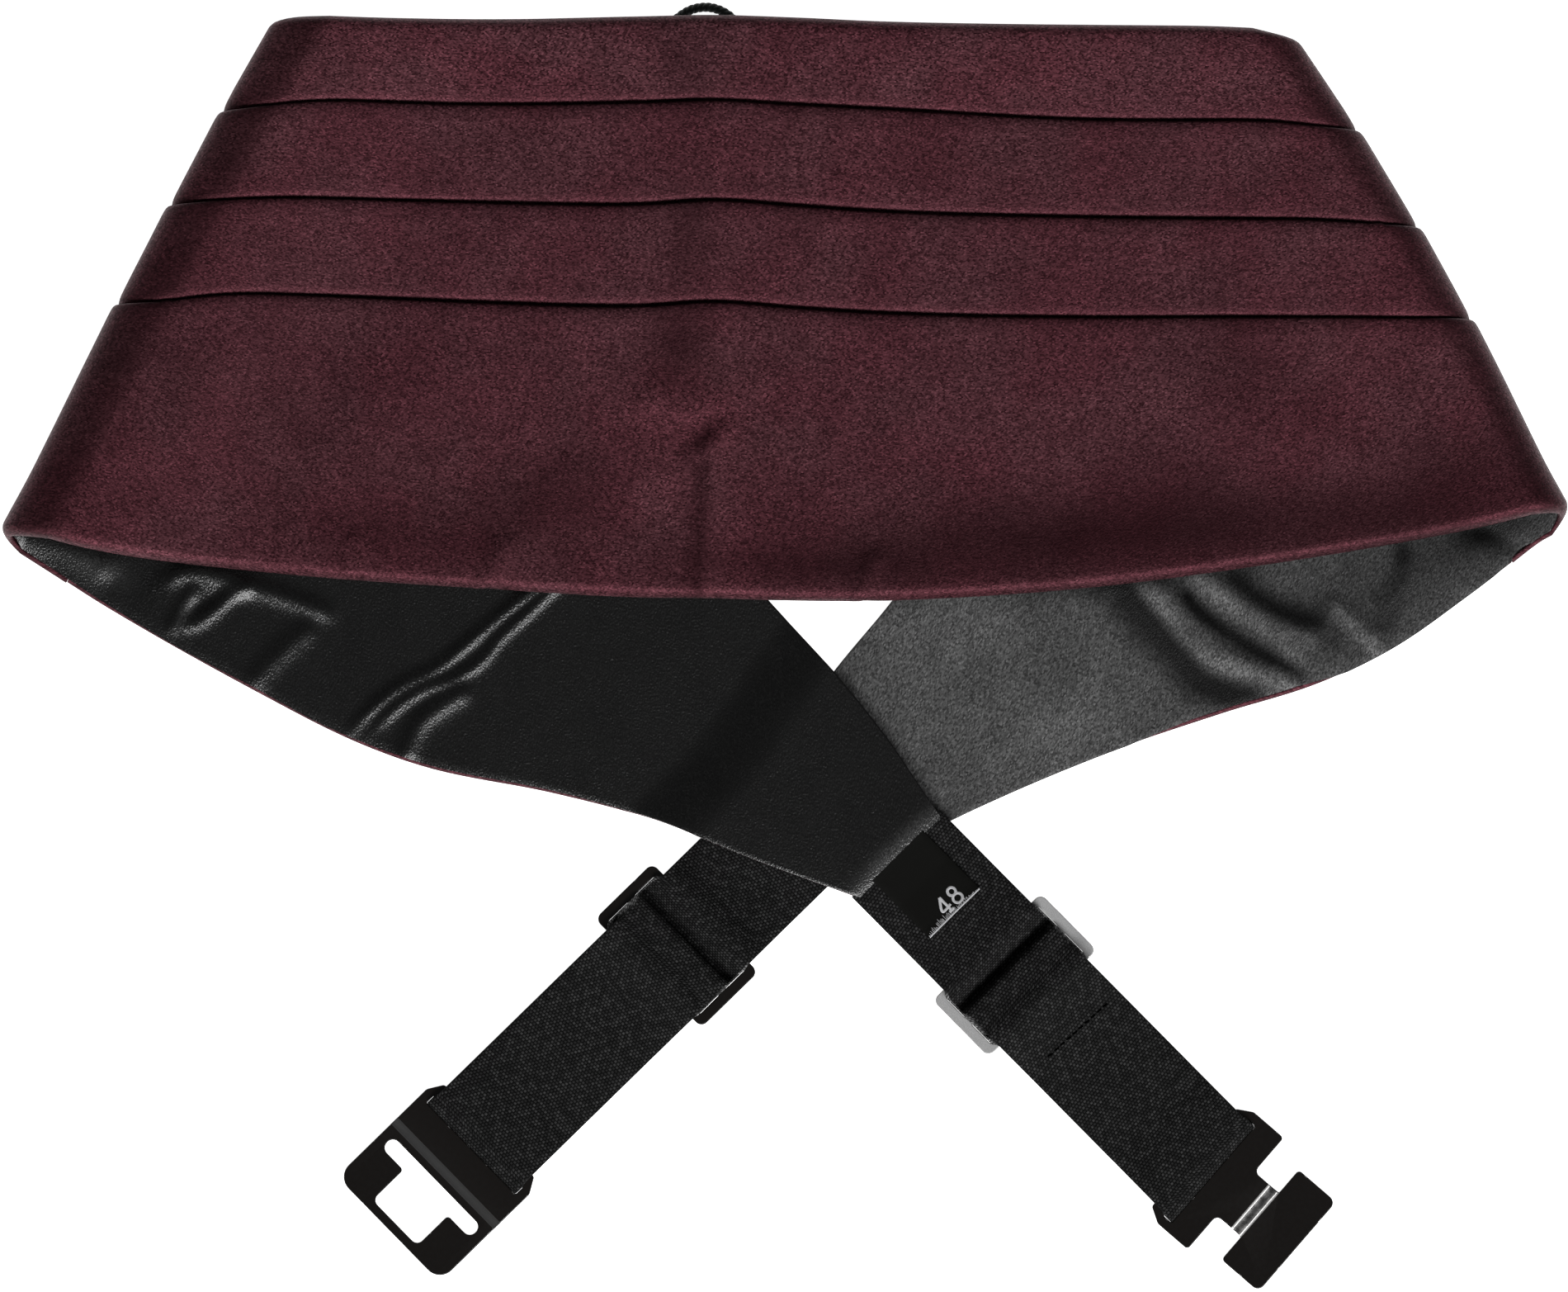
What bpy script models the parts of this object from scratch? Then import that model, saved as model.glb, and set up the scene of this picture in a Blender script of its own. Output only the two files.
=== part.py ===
"""A pleated cummerbund, laid flat on a table and folded in on its two wings.

The pleated front lies face up. Both its sides turn over soft slanted folds into the wings, which run back
under the front and cross below its hem, lining up: the right wing lies on the table, the left one over it.
A ribbed elastic leaves the end of each wing, passes a three-bar slider, turns round a metal end plate and comes
back to the slider's middle bar. One plate has a stepped T head, the other the T-shaped opening that takes it.

All the cloth follows one surface, the skin: the outer face of the garment from the end of the left wing, round
the left fold, across the front, round the right fold and out to the end of the right wing. Each piece of cloth
is a stretch of it, at its own depth under the skin. Sizes are in millimetres, and the table top is z = 0.
"""
import math

import bmesh
import bpy
import numpy as np

MM = 0.001
ORIGIN = (0.14, 0.09)   # middle of the whole piece's outline, in the coordinates below

# ---- cloth sizes ----
CLOTH = 1.0                 # satin with its interlining
SEAM_GAP = 0.3              # clearance between neighbouring pieces
LINING_TOP = CLOTH + SEAM_GAP
LINING_BOTTOM = LINING_TOP + CLOTH
RIM = 0.9                   # satin turned over the long edges, a thin line beside the lining
EDGE_ROUND = 0.35           # how far in a long edge's outer corner is cut
LINING_LINES = (0.5, 1.0, 1.5, 2.0, 2.5, 3.0, 3.2, 3.4, 3.6, 3.8)      # rows of a lining, between the long lines
SKIN_OVER_WINGS = 5.6       # height of the front's outer face where it lies over the wings
FOLD_FALL = 42.0            # width over which the front comes down from its side folds

# ---- pleats ----
TIER_HEIGHTS = (17.2, 20.2, 20.5, 59.0)
PLEAT_LIFT = 1.5            # a pleat's folded edge over the skin
TIER_LIFT = 0.75            # the rest of a tier over the skin
GROOVE_LIFT = 0.1           # bottom of the groove above a folded edge

# The front's five long lines, from the top edge to the hem: heights (y) at places across (x).
FRONT_LINES = (
    # x       top    pleat_1 pleat_2 pleat_3 hem
    (-158.0, 126.8, 108.6, 90.6, 71.5, 23.6),
    (-140.0, 127.0, 109.2, 90.6, 71.5, 19.3),
    (-100.0, 127.1, 110.1, 90.4, 70.8, 14.4),
    (-60.0, 126.5, 109.1, 89.3, 69.1, 11.5),
    (-30.0, 127.1, 109.5, 88.9, 68.4, 9.8),
    (-14.0, 127.4, 110.0, 89.8, 69.3, 9.6),
    (2.0, 126.9, 109.1, 88.7, 68.1, 9.1),
    (20.0, 126.1, 108.2, 87.5, 67.0, 9.1),
    (60.0, 125.4, 106.1, 86.4, 66.2, 11.6),
    (100.0, 125.0, 105.9, 86.0, 66.3, 16.8),
    (140.0, 124.3, 105.2, 85.4, 65.9, 23.8),
    (158.0, 124.0, 105.0, 85.0, 65.5, 28.2),
)

# The side folds, straight from the top edge to the hem but for a slight bow outward. Slip is how far a long line
# slides along the fold as it turns, at the top edge and at the hem; lines are the shares of the fold's length
# above each long line.
FOLDS = {
    "left": dict(top=(-102.2, 126.4), hem=(-157.9, 22.4), bow=0.8, slip=(2.9, 1.7),
                 lines=(0.0, 0.188, 0.371, 0.563, 1.0)),
    "right": dict(top=(102.4, 122.6), hem=(158.1, 26.8), bow=2.1, slip=(2.9, 2.4),
                  lines=(0.0, 0.205, 0.415, 0.610, 1.0)),
}
FOLD_RADIUS = (3.7, 4.8)    # at the top edge and at the hem
FOLD_SHARE = 0.08           # share of the front's width over which its lines bend to meet the folds
FOLD_RINGS = 8              # rings of each cloth's mesh round a fold

# The wings' two long edges, from the fold to the end, seen from above.
WING_EDGES = {
    "left": dict(
        top=((-3.4, 9.6), (9.9, -4.9), (21.6, -19.6), (28.2, -29.4), (31.7, -34.4)),
        hem=((-148.6, 14.9), (-136.8, 7.4), (-106.8, -9.5), (-86.8, -19.6), (-72.0, -24.9), (-46.8, -30.0),
             (-26.8, -35.3), (-5.0, -43.8), (14.9, -51.1))),
    "right": dict(
        top=((21.6, 9.1), (9.9, -5.1), (-7.4, -29.8)),
        hem=((153.1, 21.2), (146.9, 16.5), (138.2, 9.9), (123.2, -0.5), (108.0, -7.8), (88.2, -14.0),
             (63.2, -22.6), (32.4, -36.0), (9.9, -47.9))),
}
# The left wing rises over what lies under it: the right wing's top edge, its end corner, its elastic's edge.
UNDER_LEFT_WING = ((30.0, 20.4), (9.9, -5.1), (-7.4, -29.8), (-17.2, -39.2), (-40.0, -61.5))
CROSSING_LIFT = 2.65
CROSSING_RUN = 15.0

# Stations along a wing, as shares of its length from the fold: close together at the hem's corner.
WING_REACH = (0.0, 0.02, 0.04, 0.06, 0.08, 0.105) + tuple(0.14 + 0.86 * step / 24 for step in range(25))
# Stations across the front, as shares of its width: close together at the folds and the centre crease.
FRONT_REACH = (0.02, 0.05, 0.09, 0.13, 0.18, 0.24, 0.30, 0.36, 0.405, 0.43, 0.445, 0.46, 0.485, 0.53, 0.58, 0.64,
               0.70, 0.76, 0.82, 0.87, 0.91, 0.95, 0.98)

# Places along the skin: whole numbers part its five stretches.
LEFT_END, LEFT_UNDER, LEFT_OVER, RIGHT_OVER, RIGHT_UNDER, RIGHT_END = range(6)
SIDE_SEAM = 0.06            # side seams, on the underside, as a share of a wing's length
SIDE_SEAM_GAP = 0.0016
LINING_SEAM = 0.05          # lining seams, under the front, as a share of its width
LINING_SEAM_GAP = 0.0028

# Main creases: a ridge or trough along a line, fading out over a share of its length at both ends.
CREASE_FADE = 0.22
FRONT_CREASES = (
    # x0      y0     x1      y1    width  height
    (-14.2, 124.0, -16.6, 12.0, 4.0, -0.35),
    (-62.0, 12.0, -40.0, 40.0, 7.0, 0.30),
    (-95.0, 30.0, -60.0, 62.0, 12.0, 0.30),
    (25.0, 45.0, 60.0, 20.0, 12.0, -0.25),
    (95.0, 95.0, 120.0, 60.0, 14.0, 0.30),
)
LEFT_CREASES = (
    (-47.0, 4.5, -84.0, -15.5, 4.2, 2.0),
    (-44.0, -6.0, -72.0, -20.5, 3.4, 1.2),
    (-114.0, 4.0, -101.0, 11.0, 5.0, 1.3),
)
RIGHT_CREASES = (
    (72.0, 6.0, 89.0, -9.0, 4.2, 1.8),
    (86.0, 9.0, 104.0, -3.0, 4.0, 1.3),
    (112.0, 7.0, 124.0, 2.0, 4.0, 1.3),
)

# ---- elastics, sliders and end plates: distances run along each elastic from the wing's end ----
ELASTIC_WIDTH = 25.0
ELASTIC = 1.0
ELASTIC_LENGTH = 89.6       # from the wing's end to the fold round the end plate
# The groove is where the elastic dives between the slider's first two bars. Approach is its middle line up to
# there, as (distance, height). The end plate draws the far end askew by skew, a slope across the elastic.
HOOK_SIDE = dict(start=(23.3, -42.75), heading=-45.3, groove=29.0, slider_shift=-0.2, skew=-0.079,
                 approach=((0.4, 3.85), (7.0, 3.55), (14.0, 3.5), (20.0, 3.8)))
SLOT_SIDE = dict(start=(1.1, -38.65), heading=224.3, groove=27.4, slider_shift=-0.35, skew=0.0,
                 approach=((0.4, 1.15), (7.0, 1.15), (14.0, 1.5), (18.4, 2.5)))
SKEW_FROM, SKEW_TO = 50.0, 78.0

# The middle line from there on, as (distance past the groove, height): over the slider's first bar, under its
# middle bar, over its last bar and down to the table; and, on the way back, up over the last bar again.
THROUGH_SLIDER = ((-5.2, 4.35), (-3.3, 4.55), (-2.0, 4.3), (-1.2, 3.5), (-0.2, 2.1), (0.8, 0.95), (2.2, 0.5),
                  (5.6, 0.5), (6.9, 0.85), (8.0, 1.85), (9.0, 3.2), (10.0, 4.35), (11.4, 4.55), (12.9, 4.2),
                  (16.0, 3.0), (20.0, 1.7), (25.0, 0.8), (30.0, 0.5))
BACK_TO_SLIDER = ((30.0, 1.85), (25.0, 2.15), (20.0, 3.05), (16.0, 4.4), (13.4, 5.45), (11.5, 5.9), (9.8, 5.75),
                  (8.0, 5.1))
# The middle line near the end plate, as (distance before the elastic's fold, height), out and back.
TO_PLATE = ((16.0, 0.5), (8.0, 0.5))
FROM_PLATE = ((6.0, 3.1), (10.0, 2.8), (15.0, 2.0), (21.0, 1.85))

METAL = 1.0
SLIDER_WIDTH = 30.8
SLIDER_BARS = ((-3.9, -2.4), (3.45, 4.95), (10.75, 12.25))     # from the groove, along the elastic
SLIDER_SLOT = 26.3
SLIDER_Z = 2.7
SMALL_CORNER = 0.9          # corners up to this radius have fewer points

PLATE_Z = 1.3               # underside of an end plate's bar, between the elastic's two layers
PLATE_BAR = (-4.8, -1.8)    # from the elastic's fold, along the plate
PLATE_BAR_WIDTH = 26.0
PLATE_SHOULDER = -1.6
PLATE_SLOT_END = 0.4
PLATE_WIDTH = 29.8
PLATE_SLOT = 25.8
HOOK_HEADING = -40.8

HOOK_BASE_END = 6.4
HOOK_NECK = 11.7
HOOK_HEAD = (12.9, 22.9, 24.0)         # start, end, width
HOOK_STEP = (10.2, 12.9)
SLOT_PLATE_END = 23.8
SLOT_STEP = (6.7, 8.4)
SLOT_THROAT = (10.0, 13.2, 25.4)       # start, end, width of the narrow part
SLOT_MOUTH = (21.9, 12.8)              # end and width of the wide part

LABEL_WIDTH = 14.4
LABEL_REACH = (0.6, 15.8)
LOOP_ROUTE = ((-25.5, 122.0), (-21.8, 126.6), (-18.8, 128.5), (-15.6, 129.0), (-12.6, 128.2), (-9.8, 126.0),
              (-7.4, 121.6))
LOOP_DIAMETER = 2.0
LOOP_Z = 1.35


# ---------------------------------------------------------------- small geometry tools
def smooth(knots, values, at):
    """Cubic through the knots: at each knot its slope is the mean of the slopes of the two chords there."""
    knots = np.asarray(knots, float)
    values = np.asarray(values, float)
    chord = np.diff(values) / np.diff(knots)
    slope = np.concatenate([chord[:1], (chord[:-1] + chord[1:]) / 2, chord[-1:]])
    at = np.clip(at, knots[0], knots[-1])
    i = np.clip(np.searchsorted(knots, at, side="right") - 1, 0, len(knots) - 2)
    step = knots[i + 1] - knots[i]
    t = (at - knots[i]) / step
    return ((2 * t**3 - 3 * t**2 + 1) * values[i] + (t**3 - 2 * t**2 + t) * step * slope[i]
            + (3 * t**2 - 2 * t**3) * values[i + 1] + (t**3 - t**2) * step * slope[i + 1])


def ease(t):
    """Rise from 0 to 1 with level ends."""
    t = np.clip(t, 0.0, 1.0)
    return t * t * (3 - 2 * t)


def along(points, share):
    """The point at a share of a curve's length, on a smooth curve through its points."""
    points = np.asarray(points, float)
    run = np.concatenate([[0.0], np.cumsum(np.hypot(*np.diff(points, axis=0).T))])
    return np.stack([smooth(run / run[-1], points[:, k], share) for k in (0, 1)], axis=-1)


def ridges(table, x, y):
    """Sum of bell-shaped ridges, each along its own line and fading out at both ends."""
    height = np.zeros(np.broadcast(x, y).shape)
    for x0, y0, x1, y1, width, top in table:
        length = math.hypot(x1 - x0, y1 - y0)
        across_x, across_y = (y0 - y1) / length, (x1 - x0) / length
        run = ((x - x0) * (x1 - x0) + (y - y0) * (y1 - y0)) / length**2
        off = (x - x0) * across_x + (y - y0) * across_y
        fade = ease(run / CREASE_FADE) * ease((1 - run) / CREASE_FADE)
        height = height + top * fade * np.exp(-(off / width) ** 2 * 2)
    return height


# ---------------------------------------------------------------- the skin
def fold_axes(side):
    """Unit vectors of a side fold seen from above: down along it, and outward across it."""
    fold = FOLDS[side]
    down = np.subtract(fold["hem"], fold["top"])
    down = down / np.hypot(*down)
    outward = np.array([down[1], -down[0]]) if side == "left" else np.array([-down[1], down[0]])
    return down, outward


def fold_share(side, line):
    """Share of a side fold's length above a long line, 0 the top edge and 4 the hem."""
    return np.interp(line, range(5), FOLDS[side]["lines"])


def fold_turn(side, line, angle):
    """A point of a side fold, at angle 90 degrees on the front, 0 at its outer edge and -90 underneath.

    Half a cylinder about an axis along the fold. Lines cross it aslant, so they slip along it as they turn.
    """
    share = fold_share(side, line)[..., None]
    down, outward = fold_axes(side)
    fold = FOLDS[side]
    edge = np.array(fold["top"]) + share * np.subtract(fold["hem"], fold["top"])
    edge = edge + outward * fold["bow"] * np.sin(np.pi * share)
    radius = FOLD_RADIUS[0] + share * (FOLD_RADIUS[1] - FOLD_RADIUS[0])
    slip = fold["slip"][0] + share * (fold["slip"][1] - fold["slip"][0])
    turn = np.asarray(angle, float)[..., None]
    plan = edge - outward * radius * (1 - np.cos(turn)) - down * slip * turn / (math.pi / 2)
    return np.concatenate([plan, radius * (1 + np.sin(turn))], axis=-1)


def wing(side, line, reach):
    """A point of a wing at a share of its length: on the straight line between its two long edges."""
    share = fold_share(side, line)
    start_top = fold_turn(side, np.zeros(1), -math.pi / 2)[0, :2]
    start_hem = fold_turn(side, np.full(1, 4.0), -math.pi / 2)[0, :2]
    top = along((tuple(start_top),) + WING_EDGES[side]["top"], reach)
    hem = along((tuple(start_hem),) + WING_EDGES[side]["hem"], reach)
    plan = top + (hem - top) * share[..., None]
    bow = FOLDS[side]["bow"] * np.sin(np.pi * share) * np.clip(1 - reach / (SIDE_SEAM - 0.01), 0, 1)
    plan = plan + fold_axes(side)[1] * bow[..., None]
    lift = crossing_lift(plan[..., 0], plan[..., 1]) if side == "left" else np.zeros(share.shape)
    return np.concatenate([plan, lift[..., None]], axis=-1)


def crossing_lift(x, y):
    """Height of the left wing's outer face: level over what it crosses, easing to the table before it."""
    points = np.asarray(UNDER_LEFT_WING, float)
    nearest = np.full(x.shape, 1e6)
    signed = np.full(x.shape, -1e6)
    for (x0, y0), (x1, y1) in zip(points[:-1], points[1:]):
        length2 = (x1 - x0) ** 2 + (y1 - y0) ** 2
        run = np.clip(((x - x0) * (x1 - x0) + (y - y0) * (y1 - y0)) / length2, 0, 1)
        away = np.hypot(x - x0 - run * (x1 - x0), y - y0 - run * (y1 - y0))
        side = np.sign((x1 - x0) * (y - y0) - (y1 - y0) * (x - x0))
        closer = away < nearest
        signed = np.where(closer, side * away, signed)
        nearest = np.minimum(nearest, away)
    return CROSSING_LIFT * ease((signed + CROSSING_RUN) / CROSSING_RUN)


def front(line, across):
    """A point of the front: its long lines blended across, its height coming down from the folds."""
    quarter = np.full(line.shape, math.pi / 2)
    left = fold_turn("left", line, quarter)
    right = fold_turn("right", line, quarter)
    table = np.asarray(FRONT_LINES)
    upper = np.clip(np.floor(line), 0, 3).astype(int)
    part = line - upper
    x = np.zeros(line.shape)
    y = np.zeros(line.shape)
    for index in range(5):
        weight = np.where(upper == index, 1 - part, 0) + np.where(upper + 1 == index, part, 0)
        ends = [fold_turn(side, np.full(1, float(index)), math.pi / 2)[0] for side in ("left", "right")]
        line_x = ends[0][0] + across * (ends[1][0] - ends[0][0])
        heights = [smooth(table[:, 0], table[:, 1 + index], at) for at in (line_x, ends[0][0], ends[1][0])]
        near_left = np.clip(1 - across / FOLD_SHARE, 0, 1) ** 2
        near_right = np.clip(1 - (1 - across) / FOLD_SHARE, 0, 1) ** 2
        line_y = heights[0] + near_left * (ends[0][1] - heights[1]) + near_right * (ends[1][1] - heights[2])
        x = x + weight * line_x
        y = y + weight * line_y
    fall_left = 1 - ease((x - left[..., 0]) / FOLD_FALL)
    fall_right = 1 - ease((right[..., 0] - x) / FOLD_FALL)
    z = SKIN_OVER_WINGS + (left[..., 2] - SKIN_OVER_WINGS) * fall_left
    z = z + (right[..., 2] - SKIN_OVER_WINGS) * fall_right
    return np.stack([x, y, z + ridges(FRONT_CREASES, x, y)], axis=-1)


def skin(place, line):
    """The garment's outer face: place runs from the left wing's end, 0, to the right wing's end, 5."""
    place, line = np.broadcast_arrays(np.asarray(place, float), np.asarray(line, float))
    stretch = np.clip(np.floor(place), 0, 4).astype(int)
    part = place - stretch
    choices = [
        wing("left", line, 1 - part),
        fold_turn("left", line, (part - 0.5) * math.pi),
        front(line, part),
        fold_turn("right", line, (0.5 - part) * math.pi),
        wing("right", line, part),
    ]
    result = choices[0]
    for index in range(1, 5):
        result = np.where((stretch == index)[..., None], choices[index], result)
    return result


def unit(vectors):
    """Vectors brought to length 1, those of no length left so."""
    return vectors / np.maximum(np.linalg.norm(vectors, axis=-1, keepdims=True), 1e-12)


def skin_normals(place, line):
    """Outward normals of the skin. At a place between two stretches, the slope along it is their mean."""
    step = 1e-4
    place, line = np.broadcast_arrays(np.asarray(place, float), np.asarray(line, float))
    here = skin(place, line)
    before = here - skin(np.maximum(place - step, LEFT_END), line)
    after = skin(np.minimum(place + step, RIGHT_END), line) - here
    along_line = skin(place, np.clip(line + step, 0, 4)) - skin(place, np.clip(line - step, 0, 4))
    return unit(np.cross(along_line, unit(before) + unit(after)))


def from_line(index, distance):
    """The line value a distance below a long line, or above it where negative."""
    tier = index if distance >= 0 else index - 1
    return index + distance / TIER_HEIGHTS[min(max(tier, 0), 3)]


# ---------------------------------------------------------------- walls of cloth
def wall_section(outer):
    """A wall's closed section as (line, depth) pairs: its outer face, a turned rim at both edges, its inside."""
    section = [(from_line(0, RIM), CLOTH), (from_line(0, RIM), LINING_BOTTOM)]
    section += [(from_line(0, EDGE_ROUND), LINING_BOTTOM), (0.0, LINING_BOTTOM - EDGE_ROUND), (0.0, EDGE_ROUND)]
    section += outer
    section += [(4.0, EDGE_ROUND), (4.0, LINING_BOTTOM - EDGE_ROUND)]
    section += [(from_line(4, -EDGE_ROUND), LINING_BOTTOM), (from_line(4, -RIM), LINING_BOTTOM)]
    section += [(from_line(4, -RIM), CLOTH)]
    section += [(line, CLOTH) for line in (3.75, 3.4, 3.0, 2.5, 2.0, 1.5, 1.0, 0.5)]
    return section


def pleated_outer():
    """The outer face of the front: each tier dips into a groove, under the folded edge of the next one."""
    outer = [(from_line(0, 0.45), -TIER_LIFT * 0.6), (from_line(0, 2.0), -TIER_LIFT)]
    for index in (1, 2, 3):
        outer += [
            (from_line(index, -6.0), -TIER_LIFT),
            (from_line(index, -2.0), -TIER_LIFT * 0.85),
            (from_line(index, -0.9), -0.40),
            (from_line(index, -0.4), -GROOVE_LIFT),
            (from_line(index, -0.15), -GROOVE_LIFT),
            (from_line(index, -0.10), -0.60),
            (from_line(index, -0.02), -1.05),
            (from_line(index, 0.35), -PLEAT_LIFT * 0.93),
            (from_line(index, 1.4), -PLEAT_LIFT),
            (from_line(index, 6.0), -(PLEAT_LIFT + TIER_LIFT) / 2),
        ]
    outer += [(from_line(3, 14.0), -TIER_LIFT), (3.5, -0.5), (3.75, -0.3), (from_line(4, -1.5), -0.3),
              (from_line(4, -0.3), -0.05)]
    return outer


def plain_outer():
    """The outer face of a wing: flat, so that it lies on the table."""
    return [(from_line(0, 0.4), 0.0)] + [(line, 0.0) for line in (0.5, 1.0, 2.0, 3.0, 3.5)] + [
        (from_line(4, -0.4), 0.0)]


def cloth_mesh(name, places, section, lift=None, flatten=False):
    """Carry a closed section along the skin. Depths are measured inward from the outer face."""
    section = np.asarray(section, float)
    place = np.asarray(places, float)[:, None]
    line = section[None, :, 0]
    depth = np.repeat(section[None, :, 1], len(places), axis=0)
    if flatten:
        # what stands proud of the skin eases out under the folds, where the front lies on the table
        under = np.minimum(place - LEFT_UNDER, RIGHT_UNDER - place)
        depth = np.where(depth < 0, depth * ease((under - 0.05) / 0.4), depth)
    base = skin(place, line)
    if lift is not None:
        depth = depth + lift(base)
    points = base - skin_normals(place, line) * depth[..., None]
    return ring_mesh(name, points)


def ring_mesh(name, rings):
    """A closed solid from rings of equal length, with a face across each end."""
    count, size = rings.shape[:2]
    mesh = bmesh.new()
    verts = [mesh.verts.new(point * MM) for point in rings.reshape(-1, 3)]
    for i in range(count - 1):
        for j in range(size):
            k = (j + 1) % size
            mesh.faces.new((verts[i * size + j], verts[i * size + k], verts[(i + 1) * size + k],
                            verts[(i + 1) * size + j]))
    mesh.faces.new(verts[:size])
    mesh.faces.new(verts[-size:])
    return finish_mesh(name, mesh)


def finish_mesh(name, mesh, sharp=40.0):
    """Make an object of a closed mesh, its faces outward and its curved faces shaded smooth."""
    bmesh.ops.translate(mesh, verts=mesh.verts[:], vec=(-ORIGIN[0] * MM, -ORIGIN[1] * MM, 0.0))
    bmesh.ops.recalc_face_normals(mesh, faces=mesh.faces[:])
    if mesh.calc_volume(signed=True) < 0:
        bmesh.ops.reverse_faces(mesh, faces=mesh.faces[:])
    data = bpy.data.meshes.new(name)
    mesh.to_mesh(data)
    mesh.free()
    data.shade_smooth()
    data.set_sharp_from_angle(angle=math.radians(sharp))
    item = bpy.data.objects.new(name, data)
    bpy.context.collection.objects.link(item)
    return item


def front_places():
    """Places of the front's rings: from one side seam round its fold, across, and round the other to its seam."""
    turn = np.linspace(0, 1, FOLD_RINGS)
    under = np.array([reach for reach in WING_REACH if 0 < reach <= SIDE_SEAM])
    return np.concatenate([
        LEFT_UNDER - under[::-1], LEFT_UNDER + turn, LEFT_OVER + np.array(FRONT_REACH),
        RIGHT_OVER + turn, RIGHT_UNDER + under])


def front_panel():
    return cloth_mesh("front_panel", front_places(), wall_section(pleated_outer()), flatten=True)


def lining_section():
    """A flat wall under the outer cloth, inside its turned rims."""
    inset = RIM + SEAM_GAP
    edge = [from_line(0, inset)] + list(LINING_LINES) + [from_line(4, -inset)]
    return [(line, LINING_TOP) for line in edge] + [(line, LINING_BOTTOM) for line in reversed(edge)]


def front_lining():
    """The lining between its two seams, its rings where the front's own are, so that they stay a gap apart."""
    start = LINING_SEAM + LINING_SEAM_GAP
    inner = [at for at in FRONT_REACH if start + 0.01 < at < 1 - start - 0.01]
    return cloth_mesh("front_lining", LEFT_OVER + np.array([start, *inner, 1 - start]), lining_section())


def wing_shell(side):
    reach = np.array([SIDE_SEAM + SIDE_SEAM_GAP] + [at for at in WING_REACH if at > SIDE_SEAM + 0.01])
    places = LEFT_UNDER - reach[::-1] if side == "left" else RIGHT_UNDER + reach
    return cloth_mesh(side + "_wing_shell", places, wall_section(plain_outer()))


def wing_lining(side, creases):
    """The lining of a wing, round the fold and up to its seam behind the front, lifted along its creases."""
    reach = np.array(WING_REACH[1:])
    turn = np.linspace(0, 1, FOLD_RINGS)
    up_front = np.array([0.02, LINING_SEAM])
    if side == "left":
        places = np.concatenate([LEFT_UNDER - reach[::-1], LEFT_UNDER + turn, LEFT_OVER + up_front])
    else:
        places = np.concatenate([RIGHT_OVER - up_front[::-1], RIGHT_OVER + turn, RIGHT_UNDER + reach])

    def lift(base):
        """Creases lift the lining off the outer cloth, on the wing only."""
        return np.where(base[..., 2] < CROSSING_LIFT + 0.5, ridges(creases, base[..., 0], base[..., 1]), 0.0)

    return cloth_mesh(side + "_wing_lining", places, lining_section(), lift=lift)


# ---------------------------------------------------------------- elastics
def arc(centre, radius, start, end, steps):
    """Points of an arc in the plane of run and height, angles in degrees."""
    angles = np.radians(np.linspace(start, end, steps))
    return [(centre[0] + radius * math.cos(a), centre[1] + radius * math.sin(a)) for a in angles]


def elastic_path(side):
    """The elastic's middle line as (run, height): out to the end plate on the table, back over itself."""
    groove = side["groove"]
    path = list(side["approach"])
    path += [(groove + past, height) for past, height in THROUGH_SLIDER]
    path += [(ELASTIC_LENGTH - before, height) for before, height in TO_PLATE]
    turn = METAL / 2 + SEAM_GAP + ELASTIC / 2
    fold = ELASTIC_LENGTH - 0.2 - turn - ELASTIC / 2
    path += arc((fold, PLATE_Z + METAL / 2), turn, -90, 90, 9)
    path += [(ELASTIC_LENGTH - before, height) for before, height in FROM_PLATE]
    path += [(groove + past, height) for past, height in BACK_TO_SLIDER]
    wrap = turn + 0.1
    bar = (groove + SLIDER_BARS[1][0] + 0.35, SLIDER_Z + METAL / 2)
    path += arc(bar, wrap, 90, 270, 9)
    path += [(bar[0] + 1.3, bar[1] - wrap)]
    return np.array(path)


def place_on(side, run, across, height):
    """Table coordinates of a point given along an elastic, across it and above the table."""
    heading = math.radians(side["heading"])
    run = run + side["skew"] * across * ease((run - SKEW_FROM) / (SKEW_TO - SKEW_FROM))
    x = side["start"][0] + run * math.cos(heading) - across * math.sin(heading)
    y = side["start"][1] + run * math.sin(heading) + across * math.cos(heading)
    return np.stack([x, y, np.broadcast_to(height, x.shape)], axis=-1)


def ribbon(name, side, path, width, thickness):
    """A flat band carried along a path, its section a rectangle across the path."""
    step = unit(np.gradient(path, axis=0))
    normal = np.stack([-step[:, 1], step[:, 0]], axis=1) * thickness / 2
    over, under = path + normal, path - normal
    rings = [place_on(side, edge[:, 0], np.full(len(path), across), edge[:, 1])
             for edge, across in ((over, width / 2), (over, -width / 2), (under, -width / 2), (under, width / 2))]
    return ring_mesh(name, np.stack(rings, axis=1))


def elastic(name, side):
    return ribbon(name, side, elastic_path(side), ELASTIC_WIDTH, ELASTIC)


def size_label():
    """The label lies on the elastic: the same path, moved out by the elastic's half and its own."""
    path = np.array(HOOK_SIDE["approach"])
    run = np.linspace(LABEL_REACH[0], LABEL_REACH[1], 7)
    height = np.interp(run, path[:, 0], path[:, 1]) + ELASTIC / 2 + SEAM_GAP + CLOTH / 2
    return ribbon("size_label", HOOK_SIDE, np.stack([run, height], axis=1), LABEL_WIDTH, CLOTH)


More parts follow.
